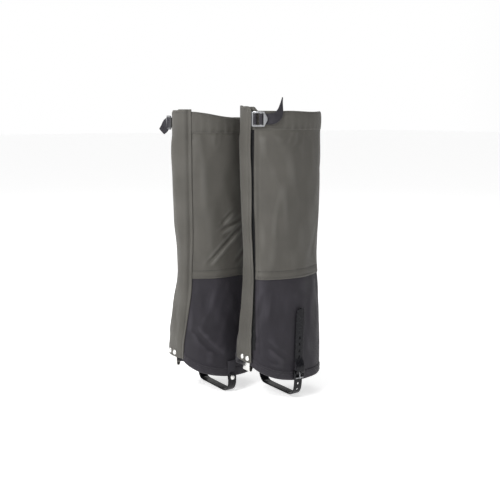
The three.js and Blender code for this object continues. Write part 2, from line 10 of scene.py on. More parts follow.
import bpy
import numpy as np
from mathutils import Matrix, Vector


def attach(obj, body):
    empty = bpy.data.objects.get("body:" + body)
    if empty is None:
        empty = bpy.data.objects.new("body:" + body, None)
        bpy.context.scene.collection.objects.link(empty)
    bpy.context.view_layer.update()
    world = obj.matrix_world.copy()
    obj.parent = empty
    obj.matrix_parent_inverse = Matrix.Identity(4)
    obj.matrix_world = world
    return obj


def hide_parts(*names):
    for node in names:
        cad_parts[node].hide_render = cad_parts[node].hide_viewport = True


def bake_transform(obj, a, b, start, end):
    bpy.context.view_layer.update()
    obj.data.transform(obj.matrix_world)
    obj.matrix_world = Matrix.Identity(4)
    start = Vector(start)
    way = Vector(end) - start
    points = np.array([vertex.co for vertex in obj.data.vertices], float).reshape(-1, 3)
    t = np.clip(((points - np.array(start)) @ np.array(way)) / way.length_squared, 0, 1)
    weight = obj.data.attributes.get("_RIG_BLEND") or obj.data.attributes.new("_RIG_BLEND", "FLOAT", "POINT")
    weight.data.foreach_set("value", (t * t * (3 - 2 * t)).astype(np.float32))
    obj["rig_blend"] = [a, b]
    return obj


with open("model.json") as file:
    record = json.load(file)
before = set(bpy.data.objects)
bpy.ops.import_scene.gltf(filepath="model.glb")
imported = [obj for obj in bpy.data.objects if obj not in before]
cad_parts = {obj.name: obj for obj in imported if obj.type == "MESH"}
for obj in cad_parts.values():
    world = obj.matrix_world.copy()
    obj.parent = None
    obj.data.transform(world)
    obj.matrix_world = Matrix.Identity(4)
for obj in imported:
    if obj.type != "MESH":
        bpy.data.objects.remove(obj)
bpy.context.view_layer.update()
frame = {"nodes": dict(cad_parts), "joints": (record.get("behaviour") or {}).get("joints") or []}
JOINTS = {j["name"]: j for j in frame["joints"]}

MM = 0.001
STRAP_Y, SWING_Z = 2.0, 27.0
SIGN = {"left": 1.0, "right": -1.0}

# ---- Camera ----
# Metres and degrees; the lens and the sensor are in millimetres.
CAMERA_AZIMUTH, CAMERA_PITCH = 55.0, 9.7
CAMERA_DISTANCE, CAMERA_HEIGHT, CAMERA_SIDEWAYS = 1.3227, 0.474, 0.0055
CAMERA_LENS, CAMERA_SENSOR = 56.1, 36.0
CAMERA_CLIP = (0.01, 50)


def new_object(name, data):
    ob = bpy.data.objects.new(name, data)
    bpy.context.scene.collection.objects.link(ob)
    return ob


def make_camera():
    data = bpy.data.cameras.new("camera")
    data.lens = CAMERA_LENS
    data.sensor_width = CAMERA_SENSOR
    data.dof.use_dof = False
    data.clip_start, data.clip_end = CAMERA_CLIP
    cam = new_object("camera", data)
    a, p = math.radians(CAMERA_AZIMUTH), math.radians(CAMERA_PITCH)
    toward = Vector((math.sin(a), -math.cos(a), 0))
    right = Vector((math.cos(a), math.sin(a), 0))
    cam.location = toward * CAMERA_DISTANCE + right * CAMERA_SIDEWAYS + Vector((0, 0, CAMERA_HEIGHT))
    look = -toward * math.cos(p) - Vector((0, 0, math.sin(p)))
    cam.rotation_euler = look.to_track_quat("-Z", "Y").to_euler()
    bpy.context.scene.camera = cam
    bpy.context.scene.view_settings.view_transform = "Standard"


make_camera()

# ---- The leg's shape, as in the CAD part ----
SIDE, FRONT, BACK = 46.0, 69.0, 74.0
SIDE_FLARE, FRONT_FLARE, BACK_FLARE = 1.0, 6.0, 6.0
BOXINESS = 0.16
CUFF_TOP, CUFF_SEAM, BREAK_Z = 477.0, 449.0, 205.0
HEM_FRONT, HEM_HEEL, HEM_BAND, HEM_SWEEP = 66.0, 26.0, 15.0, 4
FOLD_LINE = (-15.7, -2.5)
PANEL_EDGE = (-1.6, 11.8)
FLAP_EDGE = (13.0, 26.0)
FLAP_TOP, FLAP_BOTTOM, TAPE_BOTTOM = 484.0, 66.0, 88.0
PLACKET_SEAM = (-25.0, -18.5)
HINGE_Y = -12.6
BLEND_REACH = 11.0
BREAK_STITCH = BREAK_Z + 12.5
# Edge lines and heights depend on each other, so grids start from a guess and go round this often.
GUESS_Z, ROUNDS = 250.0, 8


def smooth(t):
    s = np.clip(t, 0.0, 1.0)
    return s * s * (3 - 2 * s)


def bell(value, middle, width):
    return np.exp(-((value - middle) / width) ** 2)


def flare(z):
    return smooth((BREAK_Z - z) / (BREAK_Z - HEM_FRONT))


def wall_point(phi, z):
    f = flare(z)
    toe = np.cos(phi) > 0
    reach = np.where(toe, FRONT + FRONT_FLARE * f, BACK + BACK_FLARE * f)
    square = np.where(toe, 1 + BOXINESS * f * np.sin(2 * phi) ** 2, 1.0)
    return (SIDE + SIDE_FLARE * f) * np.sin(phi) * square, -reach * np.cos(phi) * square


def wall_normal(phi, z):
    x1, y1 = wall_point(phi + 0.01, z)
    x0, y0 = wall_point(phi - 0.01, z)
    dx, dy = x1 - x0, y1 - y0
    length = np.hypot(dx, dy)
    return dy / length, -dx / length


def off_wall(phi, z, out):
    """Sideways and fore-and-aft places that stand out from the leg's shape."""
    x, y = wall_point(phi, z)
    nx, ny = wall_normal(phi, z)
    return x + nx * out, y + ny * out


def angle_at_x(x, z):
    """Angle at which the front wall stands at a given sideways place."""
    x, z = np.broadcast_arrays(np.asarray(x, float), np.asarray(z, float))
    phi = np.zeros(x.shape)
    for _ in range(14):
        unit = wall_point(phi, z)[0] / np.where(np.abs(np.sin(phi)) < 1e-6, 1e-6, np.sin(phi))
        phi = np.arcsin(np.clip(x / np.maximum(np.abs(unit), SIDE), -1, 1))
    return phi


def front_x(line, z, shift=0.0):
    return line[0] + (line[1] - line[0]) * flare(z) + shift


def front_line(line, shift=0.0):
    return lambda z: angle_at_x(front_x(line, z, shift), z)


def hem_height(phi):
    return HEM_HEEL + (HEM_FRONT - HEM_HEEL) * ((1 + np.cos(phi)) / 2) ** HEM_SWEEP


# ---- Folds: how far the cloth stands off that shape ----
MM_PER_DEGREE = 1.05


def window(value, low, high, soft):
    return smooth((value - low) / soft + 1) * smooth((high - value) / soft + 1)


CREASE_RIDGE = 0.35


def crease(deg, z, start, end, depth, width):
    """A sharp valley with a soft ridge beside it, along a line between two places on the cloth."""
    x, ax, bx = deg * MM_PER_DEGREE, start[0] * MM_PER_DEGREE, end[0] * MM_PER_DEGREE
    dx, dy = bx - ax, end[1] - start[1]
    length = math.hypot(dx, dy)
    along = ((x - ax) * dx + (z - start[1]) * dy) / length ** 2
    across = ((x - ax) * dy - (z - start[1]) * dx) / length
    fade = smooth(along / 0.3) * smooth((1 - along) / 0.3)
    valley = -depth * bell(across, 0, width)
    bank = depth * CREASE_RIDGE * bell(across, 1.9 * width, 1.3 * width)
    return fade * (valley + bank)


def ripple(seed, count, orders, lengths, size):
    """Terms of a smooth random field that closes on itself round the leg."""
    rng = np.random.default_rng(seed)
    return [
        (int(rng.integers(*orders)), 2 * math.pi / rng.uniform(*lengths) * rng.choice([-1, 1]),
         rng.uniform(0, 6.28), size * rng.uniform(0.5, 1.0))
        for _ in range(count)
    ]


def rippled(terms, turned, z):
    field = np.zeros(turned.shape)
    for order, rate, phase, size in terms:
        field = field + size * np.sin(order * turned + rate * z + phase)
    return field


RIPPLES = {
    "left": ripple(4, 9, (2, 8), (160, 420), 0.42) + ripple(14, 10, (8, 20), (70, 180), 0.14),
    "right": ripple(9, 9, (2, 8), (160, 420), 0.42) + ripple(19, 10, (8, 20), (70, 180), 0.14),
}
CRUMPLES = {
    "left": ripple(23, 12, (8, 22), (45, 150), 0.09),
    "right": ripple(29, 12, (8, 22), (45, 150), 0.09),
}
# Each crease: its two ends as (degrees from the toe, height), its depth and its width.
CREASES = {
    "left": [
        ((20, 118), (36, 98), 1.9, 4.0), ((30, 90), (66, 62), 1.0, 2.6),
        ((44, 104), (78, 66), 0.8, 3.0), ((60, 196), (52, 130), 0.9, 5.0),
        ((36, 188), (32, 140), 0.7, 4.0), ((96, 190), (100, 130), 0.7, 5.0),
        ((66, 352), (60, 262), 0.8, 5.0), ((84, 452), (80, 424), 0.5, 2.4),
        ((92, 452), (90, 420), 0.5, 2.4), ((76, 452), (73, 430), 0.4, 2.2),
        ((128, 440), (122, 330), 0.5, 6.0), ((140, 300), (118, 226), 0.8, 4.6),
        ((28, 96), (44, 74), 1.1, 4.2), ((22, 112), (58, 90), 0.7, 5.0),
        ((112, 180), (104, 100), 0.5, 7.0), ((-60, 330), (-96, 240), 1.4, 3.6),
        ((-95, 300), (-130, 235), 1.5, 3.6), ((150, 420), (158, 250), 0.8, 5.0),
    ],
    "right": [
        ((-36, 124), (-54, 96), 1.8, 4.2), ((-60, 190), (-50, 132), 0.9, 4.6),
        ((-58, 92), (-84, 58), 0.9, 2.8), ((-116, 294), (-55, 227), 3.3, 2.6),
        ((-118, 305), (-74, 283), 2.5, 2.4), ((-97, 318), (-79, 294), 1.6, 2.2),
        ((-140, 330), (-112, 272), 1.4, 4.0), ((-44, 432), (-40, 318), 0.5, 4.4),
        ((-74, 452), (-71, 424), 0.5, 2.2), ((-134, 262), (-100, 224), 1.5, 3.4),
        ((-50, 104), (-66, 78), 1.0, 4.4), ((-34, 108), (-60, 94), 0.8, 4.2),
        ((60, 330), (90, 240), 1.2, 4.0), ((96, 300), (126, 236), 1.2, 4.0),
        ((84, 452), (80, 420), 0.6, 2.4),
    ],
}


def folds(side, phi, z):
    """Distance that the cloth stands off the leg's shape, in millimetres."""
    phi, z = np.broadcast_arrays(phi, z)
    turned = np.mod(phi + np.pi, 2 * np.pi) - np.pi
    deg = np.degrees(turned)
    off_toe = np.abs(deg)
    # Drawn in at the ankle and fuller at the calf; the left front is drawn in further.
    waist = -3.6 * bell(z, 238, 62) + 1.2 * bell(z, 395, 60)
    if side == "left":
        waist = waist - 2.6 * bell(z, 185, 85) * window(deg, -62, 12, 26)
    field = rippled(RIPPLES[side], turned, z)
    crumple = rippled(CRUMPLES[side], turned, z)
    field = field + crumple * (0.3 + 0.9 * smooth((BREAK_Z - z) / 25))
    for start, end, depth, width in CREASES[side]:
        field = field + crease(deg, z, start, end, depth, width)
    gathers = 0.22 * np.sin(44 * turned + 1.3 * np.sin(5 * turned)) * bell(z, CUFF_SEAM, 11)
    field = field + gathers * window(off_toe, 68, 112, 12)
    # The cloth lies calmer under the flap, round the cuff and wherever a hard part is fixed.
    calm = 1 - window(off_toe, -1, 42, 14) * (1 - 0.75 * window(z, 120, 430, 30))
    calm = calm * (1 - 0.7 * window(z, CUFF_SEAM + 6, 600, 12))
    tab = 1 - 0.9 * window(off_toe, 78, 106, 9) * window(z, -100, 64, 18)
    tail = 1 - 0.8 * window(deg, 78, 102, 9) * window(z, -100, 160, 25)
    hardware = 1 - window(off_toe, -1, 34, 12) * window(z, -100, 92, 16)
    buckle = 1 - window(deg, -30, 64, 12) * window(z, 446, 600, 14)
    return (field * calm * tab * tail + waist) * hardware * buckle


def skin(side, phi, z, out):
    """Points in the gaiter's own frame, on the cloth and out millimetres off its middle."""
    phi, z, out = np.broadcast_arrays(*[np.asarray(a, float) for a in (phi, z, out)])
    x, y = off_wall(phi, z, out + folds(side, phi, z))
    return np.stack([x, y, z], axis=-1)


# ---- From arrays to meshes ----
def centre(side):
    """The foot of a gaiter's own z axis in the row frame."""
    x, y, z = JOINTS[f"{side}_instep_swing"]["pos_m"]
    return x, y - STRAP_Y * MM, z - SWING_Z * MM


def place(side, points):
    x, y, z = centre(side)
    p = np.asarray(points, float) * MM
    return np.stack([p[..., 0] * SIGN[side] + x, p[..., 1] + y, p[..., 2] + z], axis=-1)


def new_mesh(name, side, vertices, faces, uv=None, wear=None):
    """A piece from vertices in the gaiter's own frame; faces turn over where it is mirrored."""
    used, inverse = np.unique(np.concatenate([np.ravel(f) for f in faces]), return_inverse=True)
    me = bpy.data.meshes.new(name)
    loops, at = [], 0
    for f in faces:
        k = len(f)
        ids = inverse[at:at + k].tolist()
        loops.append(ids if SIGN[side] > 0 else ids[::-1])
        at += k
    me.from_pydata(place(side, np.asarray(vertices)[used]).tolist(), [], loops)
    if uv is not None:
        layer = me.uv_layers.new(name="cloth")
        index = np.zeros(len(me.loops), np.int32)
        me.loops.foreach_get("vertex_index", index)
        layer.data.foreach_set("uv", (np.asarray(uv)[used] * MM)[index].astype(np.float32).ravel())
    if wear is not None:
        me.attributes.new("wear", "FLOAT", "POINT").data.foreach_set(
            "value", np.asarray(wear)[used].astype(np.float32))
    me.validate()
    me.shade_smooth()
    return new_object(name, me)


def grid_normals(p):
    across = np.gradient(p, axis=1)
    up = np.gradient(p, axis=0)
    n = np.cross(across, up)
    return n / np.maximum(np.linalg.norm(n, axis=-1, keepdims=True), 1e-9)


def slab(name, side, p, thick, uv, keep=None, wear=None, edge=0.42):
    """A closed sheet round a grid of points, with soft rims at its borders and at holes in it."""
    rows, cols = p.shape[:2]
    n = rows * cols
    normal = grid_normals(p)
    thick = np.broadcast_to(np.asarray(thick, float), (rows, cols))[..., None]
    flat = p.reshape(n, 3)
    outer = (p + normal * thick / 2).reshape(n, 3)
    inner = (p - normal * thick / 2).reshape(n, 3)
    keep = np.ones((rows - 1, cols - 1), bool) if keep is None else keep
    r, c = np.nonzero(keep)
    a = r * cols + c
    quads = np.stack([a, a + 1, a + cols + 1, a + cols], axis=1)
    middle = flat[quads].mean(axis=1)
    pull = np.zeros((n, 3))
    for k in range(4):
        np.add.at(pull, quads[:, k], flat[quads[:, k]] - middle)
    edges = {}
    for q in quads.tolist():
        for k in range(4):
            i, j = q[k], q[(k + 1) % 4]
            if edges.pop((j, i), None) is None:
                edges[(i, j)] = True
    border = sorted({i for pair in edges for i in pair})
    where = {i: 2 * n + k for k, i in enumerate(border)}
    push = pull[border] / np.maximum(np.linalg.norm(pull[border], axis=1, keepdims=True), 1e-9)
    rim = flat[border] + push * thick.reshape(n, 1)[border] * edge
    faces = quads.tolist() + (quads[:, ::-1] + n).tolist()
    for i, j in edges:
        faces.append([j, i, where[i], where[j]])
        faces.append([where[j], where[i], i + n, j + n])
    uv = np.asarray(uv).reshape(n, 2)
    wear = np.zeros(n) if wear is None else np.asarray(wear, float).reshape(n)
    return new_mesh(
        name, side, np.vstack([outer, inner, rim]), faces,
        np.vstack([uv, uv, uv[border]]), np.concatenate([wear, wear, wear[border]]))


def shares(rows, cols):
    """Shares of the way across and up a grid."""
    return np.linspace(0, 1, cols)[None, :], np.linspace(0, 1, rows)[:, None]


def cloth_grid(side, start, end, low, high, out, rows, cols):
    """Angles, heights and points of a piece of cloth between two edge lines and two height lines."""
    u, v = shares(rows, cols)
    z = np.full((rows, cols), GUESS_Z)
    for _ in range(ROUNDS):
        phi = start(z) + (end(z) - start(z)) * u
        z = np.broadcast_to(low(phi) + (high(phi) - low(phi)) * v, (rows, cols))
    phi = np.broadcast_to(phi, z.shape)
    return phi, z, skin(side, phi, z, out(phi, z))


def level(value):
    return lambda _: value


def arc_uv(phi, z):
    """UV in millimetres: distance round the leg from the toe, and height."""
    return np.stack([np.degrees(phi) * MM_PER_DEGREE, z], axis=-1)


def wear_of(side, phi, z):
    """Where cloth rubs pale: along its ridges."""
    h = folds(side, phi, z)
    curve = h - (np.roll(h, 3, 0) + np.roll(h, -3, 0) + np.roll(h, 3, 1) + np.roll(h, -3, 1)) / 4
    curve[:3] = curve[-3:] = 0
    curve[:, :3] = curve[:, -3:] = 0
    return np.clip(0.25 + curve * 0.9, 0, 1)


# ---- Stitching ----
STITCH_LENGTH, STITCH_PITCH, STITCH_RADIUS = 2.7, 3.6, 0.34
STITCH_SINK, STITCH_RISE, STITCH_SIDES = 0.15, 0.12, 6


def stitches(name, side, paths):
    """Short thread capsules that lie along lines of points; paths holds (points, normals)."""
    vertices, faces = [], []
    for points, normals in paths:
        route = Route(points, 0)
        for s in np.arange(STITCH_PITCH * 0.6, route.length - STITCH_LENGTH, STITCH_PITCH):
            start, end = route.at(s), route.at(s + STITCH_LENGTH)
            up = np.array([np.interp(s + STITCH_LENGTH / 2, route.run, column) for column in normals.T])
            up /= np.linalg.norm(up)
            along = end - start
            along /= np.linalg.norm(along)
            across = np.cross(along, up)
            first = len(vertices)
            vertices.append(start - up * STITCH_SINK)
            for share in (0.22, 0.78):
                mid = start + (end - start) * share + up * STITCH_RISE
                for k in range(STITCH_SIDES):
                    turn = k * math.pi / 3
                    vertices.append(mid + STITCH_RADIUS * (across * math.cos(turn) + up * math.sin(turn)))
            vertices.append(end - up * STITCH_SINK)
            near, far = first + 1, first + 1 + STITCH_SIDES
            for k in range(STITCH_SIDES):
                m = (k + 1) % STITCH_SIDES
                faces.append([first, near + m, near + k])
                faces.append([near + k, near + m, far + m, far + k])
                faces.append([far + k, far + m, far + STITCH_SIDES])
    return new_mesh(name, side, np.array(vertices), faces)


def seam_path(side, phi, z, out):
    return skin(side, phi, z, out), skin(side, phi, z, out + 1) - skin(side, phi, z, out)


# ---- Materials ----
class Nodes:
    """A short way to write the node tree of a new material or world."""

    def __init__(self, name, kind="materials", shader="Principled BSDF"):
        self.owner = getattr(bpy.data, kind).new(name)
        self.owner.use_nodes = True
        self.tree = self.owner.node_tree
        self.shader = self.tree.nodes[shader]

    def add(self, kind, inputs=(), **settings):
        node = self.tree.nodes.new("ShaderNode" + kind)
        for key, value in settings.items():
            setattr(node, key, value)
        for key, value in dict(inputs).items():
            self.feed(node, key, value)
        return node

    def feed(self, node, key, value):
        if isinstance(value, bpy.types.NodeSocket):
            self.tree.links.new(value, node.inputs[key])
        else:
            node.inputs[key].default_value = value

    def math(self, operation, a, b=0.0):
        return self.add("Math", {0: a, 1: b}, operation=operation).outputs[0]

    def mix(self, share, a, b):
        node = self.add("Mix", data_type="RGBA")
        for key, value in ((0, share), (6, a), (7, b)):
            self.feed(node, key, value)
        return node.outputs[2]

    def noise(self, where, scale, detail=3.0, rough=0.55):
        inputs = {"Vector": where, "Scale": scale, "Detail": detail, "Roughness": rough}
        return self.add("TexNoise", inputs).outputs[0]

    def remap(self, value, low, high, to_low=0.0, to_high=1.0):
        return self.add("MapRange", {0: value, 1: low, 2: high, 3: to_low, 4: to_high}).outputs[0]

    def own_place(self):
        return self.add("TexCoord").outputs["Object"]

    def cloth_place(self):
        return self.add("UVMap", uv_map="cloth").outputs[0]

    def finish(self, **values):
        for key, value in values.items():
            self.feed(self.shader, key.replace("_", " "), value)
        return self.owner

    def bump(self, height, strength, distance, under=None):
        inputs = {"Height": height, "Strength": strength, "Distance": distance}
        if under is not None:
            inputs["Normal"] = under
        return self.add("Bump", inputs).outputs[0]


def rgba(color, share=1.0):
    return (*[c * share for c in color], 1.0)


def woven(name, base, deep, pale, thread, bump, sheen, rough, twill=0.0):
    """Woven cloth: threads both ways at that spacing in metres, blotches, streaks, rubbed ridges."""
    n = Nodes(name)
    uv = n.add("SeparateXYZ", {0: n.cloth_place()})
    rate = math.pi / thread
    u = n.math("MULTIPLY", uv.outputs[0], rate)
    v = n.math("MULTIPLY", uv.outputs[1], rate)
    if twill:
        v = n.math("ADD", v, n.math("MULTIPLY", u, twill))
    weave = n.math("MULTIPLY", n.math("SINE", u), n.math("SINE", v))
    where = n.own_place()
    fine = n.noise(where, 2600.0, 2.0)
    blotch = n.noise(where, 22.0, 4.0, 0.6)
    stretched = n.add("VectorMath", {0: n.cloth_place(), 1: (900.0, 35.0, 1.0)}, operation="MULTIPLY")
    streak = n.noise(stretched.outputs[0], 1.0, 2.0)
    tone = n.mix(n.remap(blotch, 0.3, 0.7), rgba(deep), rgba(base))
    tone = n.mix(n.remap(streak, 0.3, 0.75, 0.0, 0.28), tone, rgba(deep))
    tone = n.mix(n.remap(weave, -1.0, 1.0, 0.3, 0.0), tone, rgba(deep, 0.55))
    worn = n.add("Attribute", attribute_name="wear").outputs["Fac"]
    rubbed = n.math("MULTIPLY", n.remap(worn, 0.25, 0.9, 0.0, 0.6), n.remap(fine, 0.35, 0.6, 0.4, 1.0))
    tone = n.mix(rubbed, tone, rgba(pale))
    height = n.math("ADD", n.math("MULTIPLY", weave, 0.6), n.math("MULTIPLY", fine, 0.5))
    return n.finish(
        Base_Color=tone, Roughness=n.remap(blotch, 0.3, 0.7, rough - 0.05, rough + 0.06),
        Normal=n.bump(height, bump, 0.00025), Sheen_Weight=sheen, Sheen_Roughness=0.4,
        Sheen_Tint=rgba((0.9, 0.9, 0.88)), Specular_IOR_Level=0.34)


def ribbed(name, base, pale, rib, sheen):
    """Webbing: close ribs across it and a finer thread along it."""
    n = Nodes(name)
    uv = n.add("SeparateXYZ", {0: n.cloth_place()})
    along = n.math("SINE", n.math("MULTIPLY", uv.outputs[1], 2 * math.pi / rib))
    across = n.math("SINE", n.math("MULTIPLY", uv.outputs[0], 2 * math.pi / (rib * 0.6)))
    fine = n.noise(n.own_place(), 3000.0, 2.0)
    tone = n.mix(n.remap(along, -1.0, 1.0, 0.0, 0.55), rgba(base), rgba(pale))
    tone = n.mix(n.remap(fine, 0.35, 0.7, 0.0, 0.4), tone, rgba(base, 0.6))
    height = n.math("ADD", n.math("MULTIPLY", along, 0.7), n.math("MULTIPLY", across, 0.35))
    return n.finish(
        Base_Color=tone, Roughness=0.72, Normal=n.bump(height, 0.6, 0.0003),
        Sheen_Weight=sheen, Sheen_Roughness=0.4)


def pile(name, base, pale, cell):
    """Hook-and-loop tape: rows of stubby loops."""
    n = Nodes(name)
    spots = n.add("TexVoronoi", {"Vector": n.own_place(), "Scale": 1 / cell}).outputs["Distance"]
    fine = n.noise(n.own_place(), 4000.0, 2.0)
    tone = n.mix(n.remap(spots, 0.1, 0.6, 0.8, 0.0), rgba(base), rgba(pale))
    height = n.math("ADD", n.math("SUBTRACT", 1.0, spots), n.math("MULTIPLY", fine, 0.4))
    return n.finish(
        Base_Color=tone, Roughness=0.9, Normal=n.bump(height, 0.9, 0.0006), Sheen_Weight=0.08,
        Specular_IOR_Level=0.2)


def polymer(name, base):
    """Glossy flexible strap: faint moulding ripple, dulled by rubbing."""
    n = Nodes(name)
    where = n.own_place()
    wide = n.noise(where, 90.0, 3.0)
    fine = n.noise(where, 1800.0, 3.0)
    rub = n.remap(n.noise(where, 260.0, 5.0, 0.7), 0.52, 0.75)
    return n.finish(
        Base_Color=n.mix(n.math("MULTIPLY", rub, 0.35), rgba(base), rgba([c * 2.6 + 0.01 for c in base])),
        Roughness=n.remap(rub, 0.0, 1.0, 0.26, 0.44),
        Normal=n.bump(fine, 0.12, 0.0002, n.bump(wide, 0.25, 0.0012)), Specular_IOR_Level=0.17)


def metal(name, base, rough, scratch=0.25):
    """Plated or painted metal: a fine grain and darker handling marks."""
    n = Nodes(name)
    where = n.own_place()
    brushed = n.noise(where, 900.0, 3.0)
    marks = n.remap(n.noise(where, 420.0, 6.0, 0.75), 0.5, 0.72)
    return n.finish(
        Base_Color=n.mix(n.math("MULTIPLY", marks, scratch), rgba(base), rgba(base, 0.6)),
        Metallic=1.0, Roughness=n.remap(brushed, 0.3, 0.7, rough, rough + 0.14),
        Normal=n.bump(brushed, 0.1, 0.0001, n.bump(marks, 0.15, 0.0002)))


# Cloth colours are a base, a deeper and a rubbed one; spacings of threads and ribs are in metres.
OLIVE = woven(
    "olive_cloth", (0.101, 0.0950, 0.0835), (0.077, 0.0725, 0.0635), (0.164, 0.159, 0.145),
    thread=0.00055, bump=0.55, sheen=0.14, rough=0.6)
OLIVE_FLAP = woven(
    "olive_flap", (0.091, 0.0855, 0.0745), (0.070, 0.066, 0.057), (0.156, 0.151, 0.138),
    thread=0.00055, bump=0.55, sheen=0.16, rough=0.56)
CHARCOAL = woven(
    "charcoal_cloth", (0.029, 0.0255, 0.0333), (0.0185, 0.0163, 0.0215), (0.066, 0.060, 0.073),
    thread=0.0006, bump=0.5, sheen=0.08, rough=0.7, twill=1.0)
WEB = ribbed("webbing", (0.011, 0.0095, 0.0145), (0.048, 0.044, 0.056), rib=0.0013, sheen=0.08)
PILE = pile("hook_and_loop", (0.008, 0.008, 0.009), (0.035, 0.035, 0.037), cell=0.0009)
STRAP = polymer("strap_polymer", (0.008, 0.008, 0.010))
BLACK_METAL = metal("black_metal", (0.035, 0.035, 0.038), rough=0.3)
STEEL = metal("buckle_steel", (0.30, 0.304, 0.316), rough=0.24, scratch=0.3)
NICKEL = metal("nickel", (0.74, 0.73, 0.71), rough=0.12, scratch=0.12)
RIVET = metal("rivet_nickel", (0.86, 0.85, 0.83), rough=0.34, scratch=0.1)
# The cuff strap inside its casing, which hides it.
HIDDEN_WEB = metal("hidden_webbing", (0.03, 0.03, 0.035), rough=0.7)


def thread_material(name, base):
    n = Nodes(name)
    twist = n.noise(n.own_place(), 3500.0, 1.0)
    return n.finish(
        Base_Color=n.mix(twist, rgba(base), rgba(base, 0.55)), Roughness=0.55,
        Normal=n.bump(twist, 0.5, 0.0002), Sheen_Weight=0.2)


OLIVE_THREAD = thread_material("olive_thread", (0.028, 0.027, 0.024))
CHARCOAL_THREAD = thread_material("charcoal_thread", (0.016, 0.015, 0.018))


def finish_with(ob, material):
    ob.data.materials.clear()
    ob.data.materials.append(material)
    return ob


def bend_at_panel(ob, side):
    """Cloth that goes round the lateral side bends where the front panel swings open."""
    beside, high = 60, 300
    ends = [[beside, HINGE_Y + BLEND_REACH, high], [beside, HINGE_Y - BLEND_REACH, high]]
    start, end = place(side, ends)
    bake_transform(ob, f"{side}_shell", f"{side}_panel", tuple(start), tuple(end))


# ---- Leg cloth ----
def edge_band(phi, z):
    """The doubled edge of the front panel stands up beside the flap's free edge."""
    beside = wall_point(phi, z)[0] - front_x(FLAP_EDGE, z)
    front = np.cos(phi) > 0
    ridge = 1.1 * bell(beside, 5.0, 1.7) - 0.8 * bell(beside, 8.6, 1.5)
    return np.where(front, ridge, 0.0) * window(z, 84, CUFF_SEAM - 6, 8)


# Each half of the leg: its two edge lines, and how many points go round it.
HALVES = {
    "lateral": (front_line(PANEL_EDGE), level(np.pi), 76),
    "medial": (level(-np.pi), front_line(FOLD_LINE), 70),
}
CLOTH_THICK, BAND_THICK = 0.8, 0.7


def halves(side, label, build, material, nodes):
    """Both halves of a piece of leg cloth; each hides the CAD sheet that it takes the place of.

    build(side, start, end, cols) gives the grid, its UV, its distances up the cloth, and what
    else slab() needs.
    """
    for (half, edges), node in zip(HALVES.items(), nodes):
        p, uv, up, details = build(side, *edges)
        ob = slab(f"{side}_{label}_{half}", side, p, uv=uv, **details)
        finish_with(ob, material)
        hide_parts(f"{side}_{node}")
        bind_half(ob, side, half)


def plain(low, high, out, rows):
    """Cloth between two height lines, ready for halves() to build."""
    def build(side, start, end, cols):
        phi, z, p = cloth_grid(side, start, end, low, high, out, rows, cols)
        return p, arc_uv(phi, z), z, dict(thick=CLOTH_THICK, wear=wear_of(side, phi, z))
    return build


def bind_half(ob, side, half):
    """The lateral half bends with the front panel; the medial one stays on the shell."""
    if half == "lateral":
        bend_at_panel(ob, side)
    else:
        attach(ob, f"{side}_shell")


UPPER_OUT = 0.25


def upper_out(phi, z):
    """The upper's lower edge is folded under, and its stitches pull a groove."""
    hemmed = 0.35 * smooth((BREAK_STITCH - z) / 3) - 0.5 * bell(z, BREAK_STITCH, 1.3)
    return UPPER_OUT + hemmed + edge_band(phi, z)


def lower_out(phi, z):
    return -0.55 * smooth((z - BREAK_Z + 9) / 8) + edge_band(phi, z)


def band_top(phi):
    return hem_height(phi) + HEM_BAND


def profile_grid(start, end, profile, spots, cols, lift):
    """A folded band: rows follow a profile of (out, height) that stands on a line round the leg."""
    profile = np.array(profile)
    steps = np.concatenate([[0], np.cumsum(np.hypot(*np.diff(profile, axis=0).T))])
    t = np.linspace(0, steps[-1], spots)
    out = np.interp(t, steps, profile[:, 0])[:, None]
    up = np.interp(t, steps, profile[:, 1])[:, None]
    u = np.linspace(0, 1, cols)[None, :]
    first = np.full((1, 1), 300.0)
    phi = start(first) + (end(first) - start(first)) * u
    for _ in range(ROUNDS):
        z = np.broadcast_to(lift(phi) + up, (spots, cols))
        phi = np.broadcast_to(start(z) + (end(z) - start(z)) * u, z.shape)
    out = np.broadcast_to(out, z.shape)
    return phi, z, out, np.broadcast_to(t[:, None], z.shape)


CUFF_PROFILE = [
    (0.75, -1.4), (0.95, 2), (1.0, 8), (1.0, 16), (0.98, 23), (0.75, 26.2), (-0.1, 28.1), (-1.4, 28.2),
    (-2.4, 26.6), (-2.7, 22), (-2.7, 11), (-2.5, 0.5),
]
HEM_PROFILE = [
    (0.5, 15.6), (0.9, 13), (1.0, 8), (0.95, 3), (0.6, 0.9), (-0.1, 0.1), (-0.8, 0.5), (-1.2, 2.6),
    (-1.1, 14),
]
CUFF_ROWS, CUFF_FINER, HEM_ROWS = 36, 1.5, 22
CUFF_TIP = 6.4
CUFF_SAG = {"left": 0.8, "right": 4.6}
SLOT_DEGREES = (45.4, 49.8)
SLOT_HEIGHTS = (455.6, 473.4)


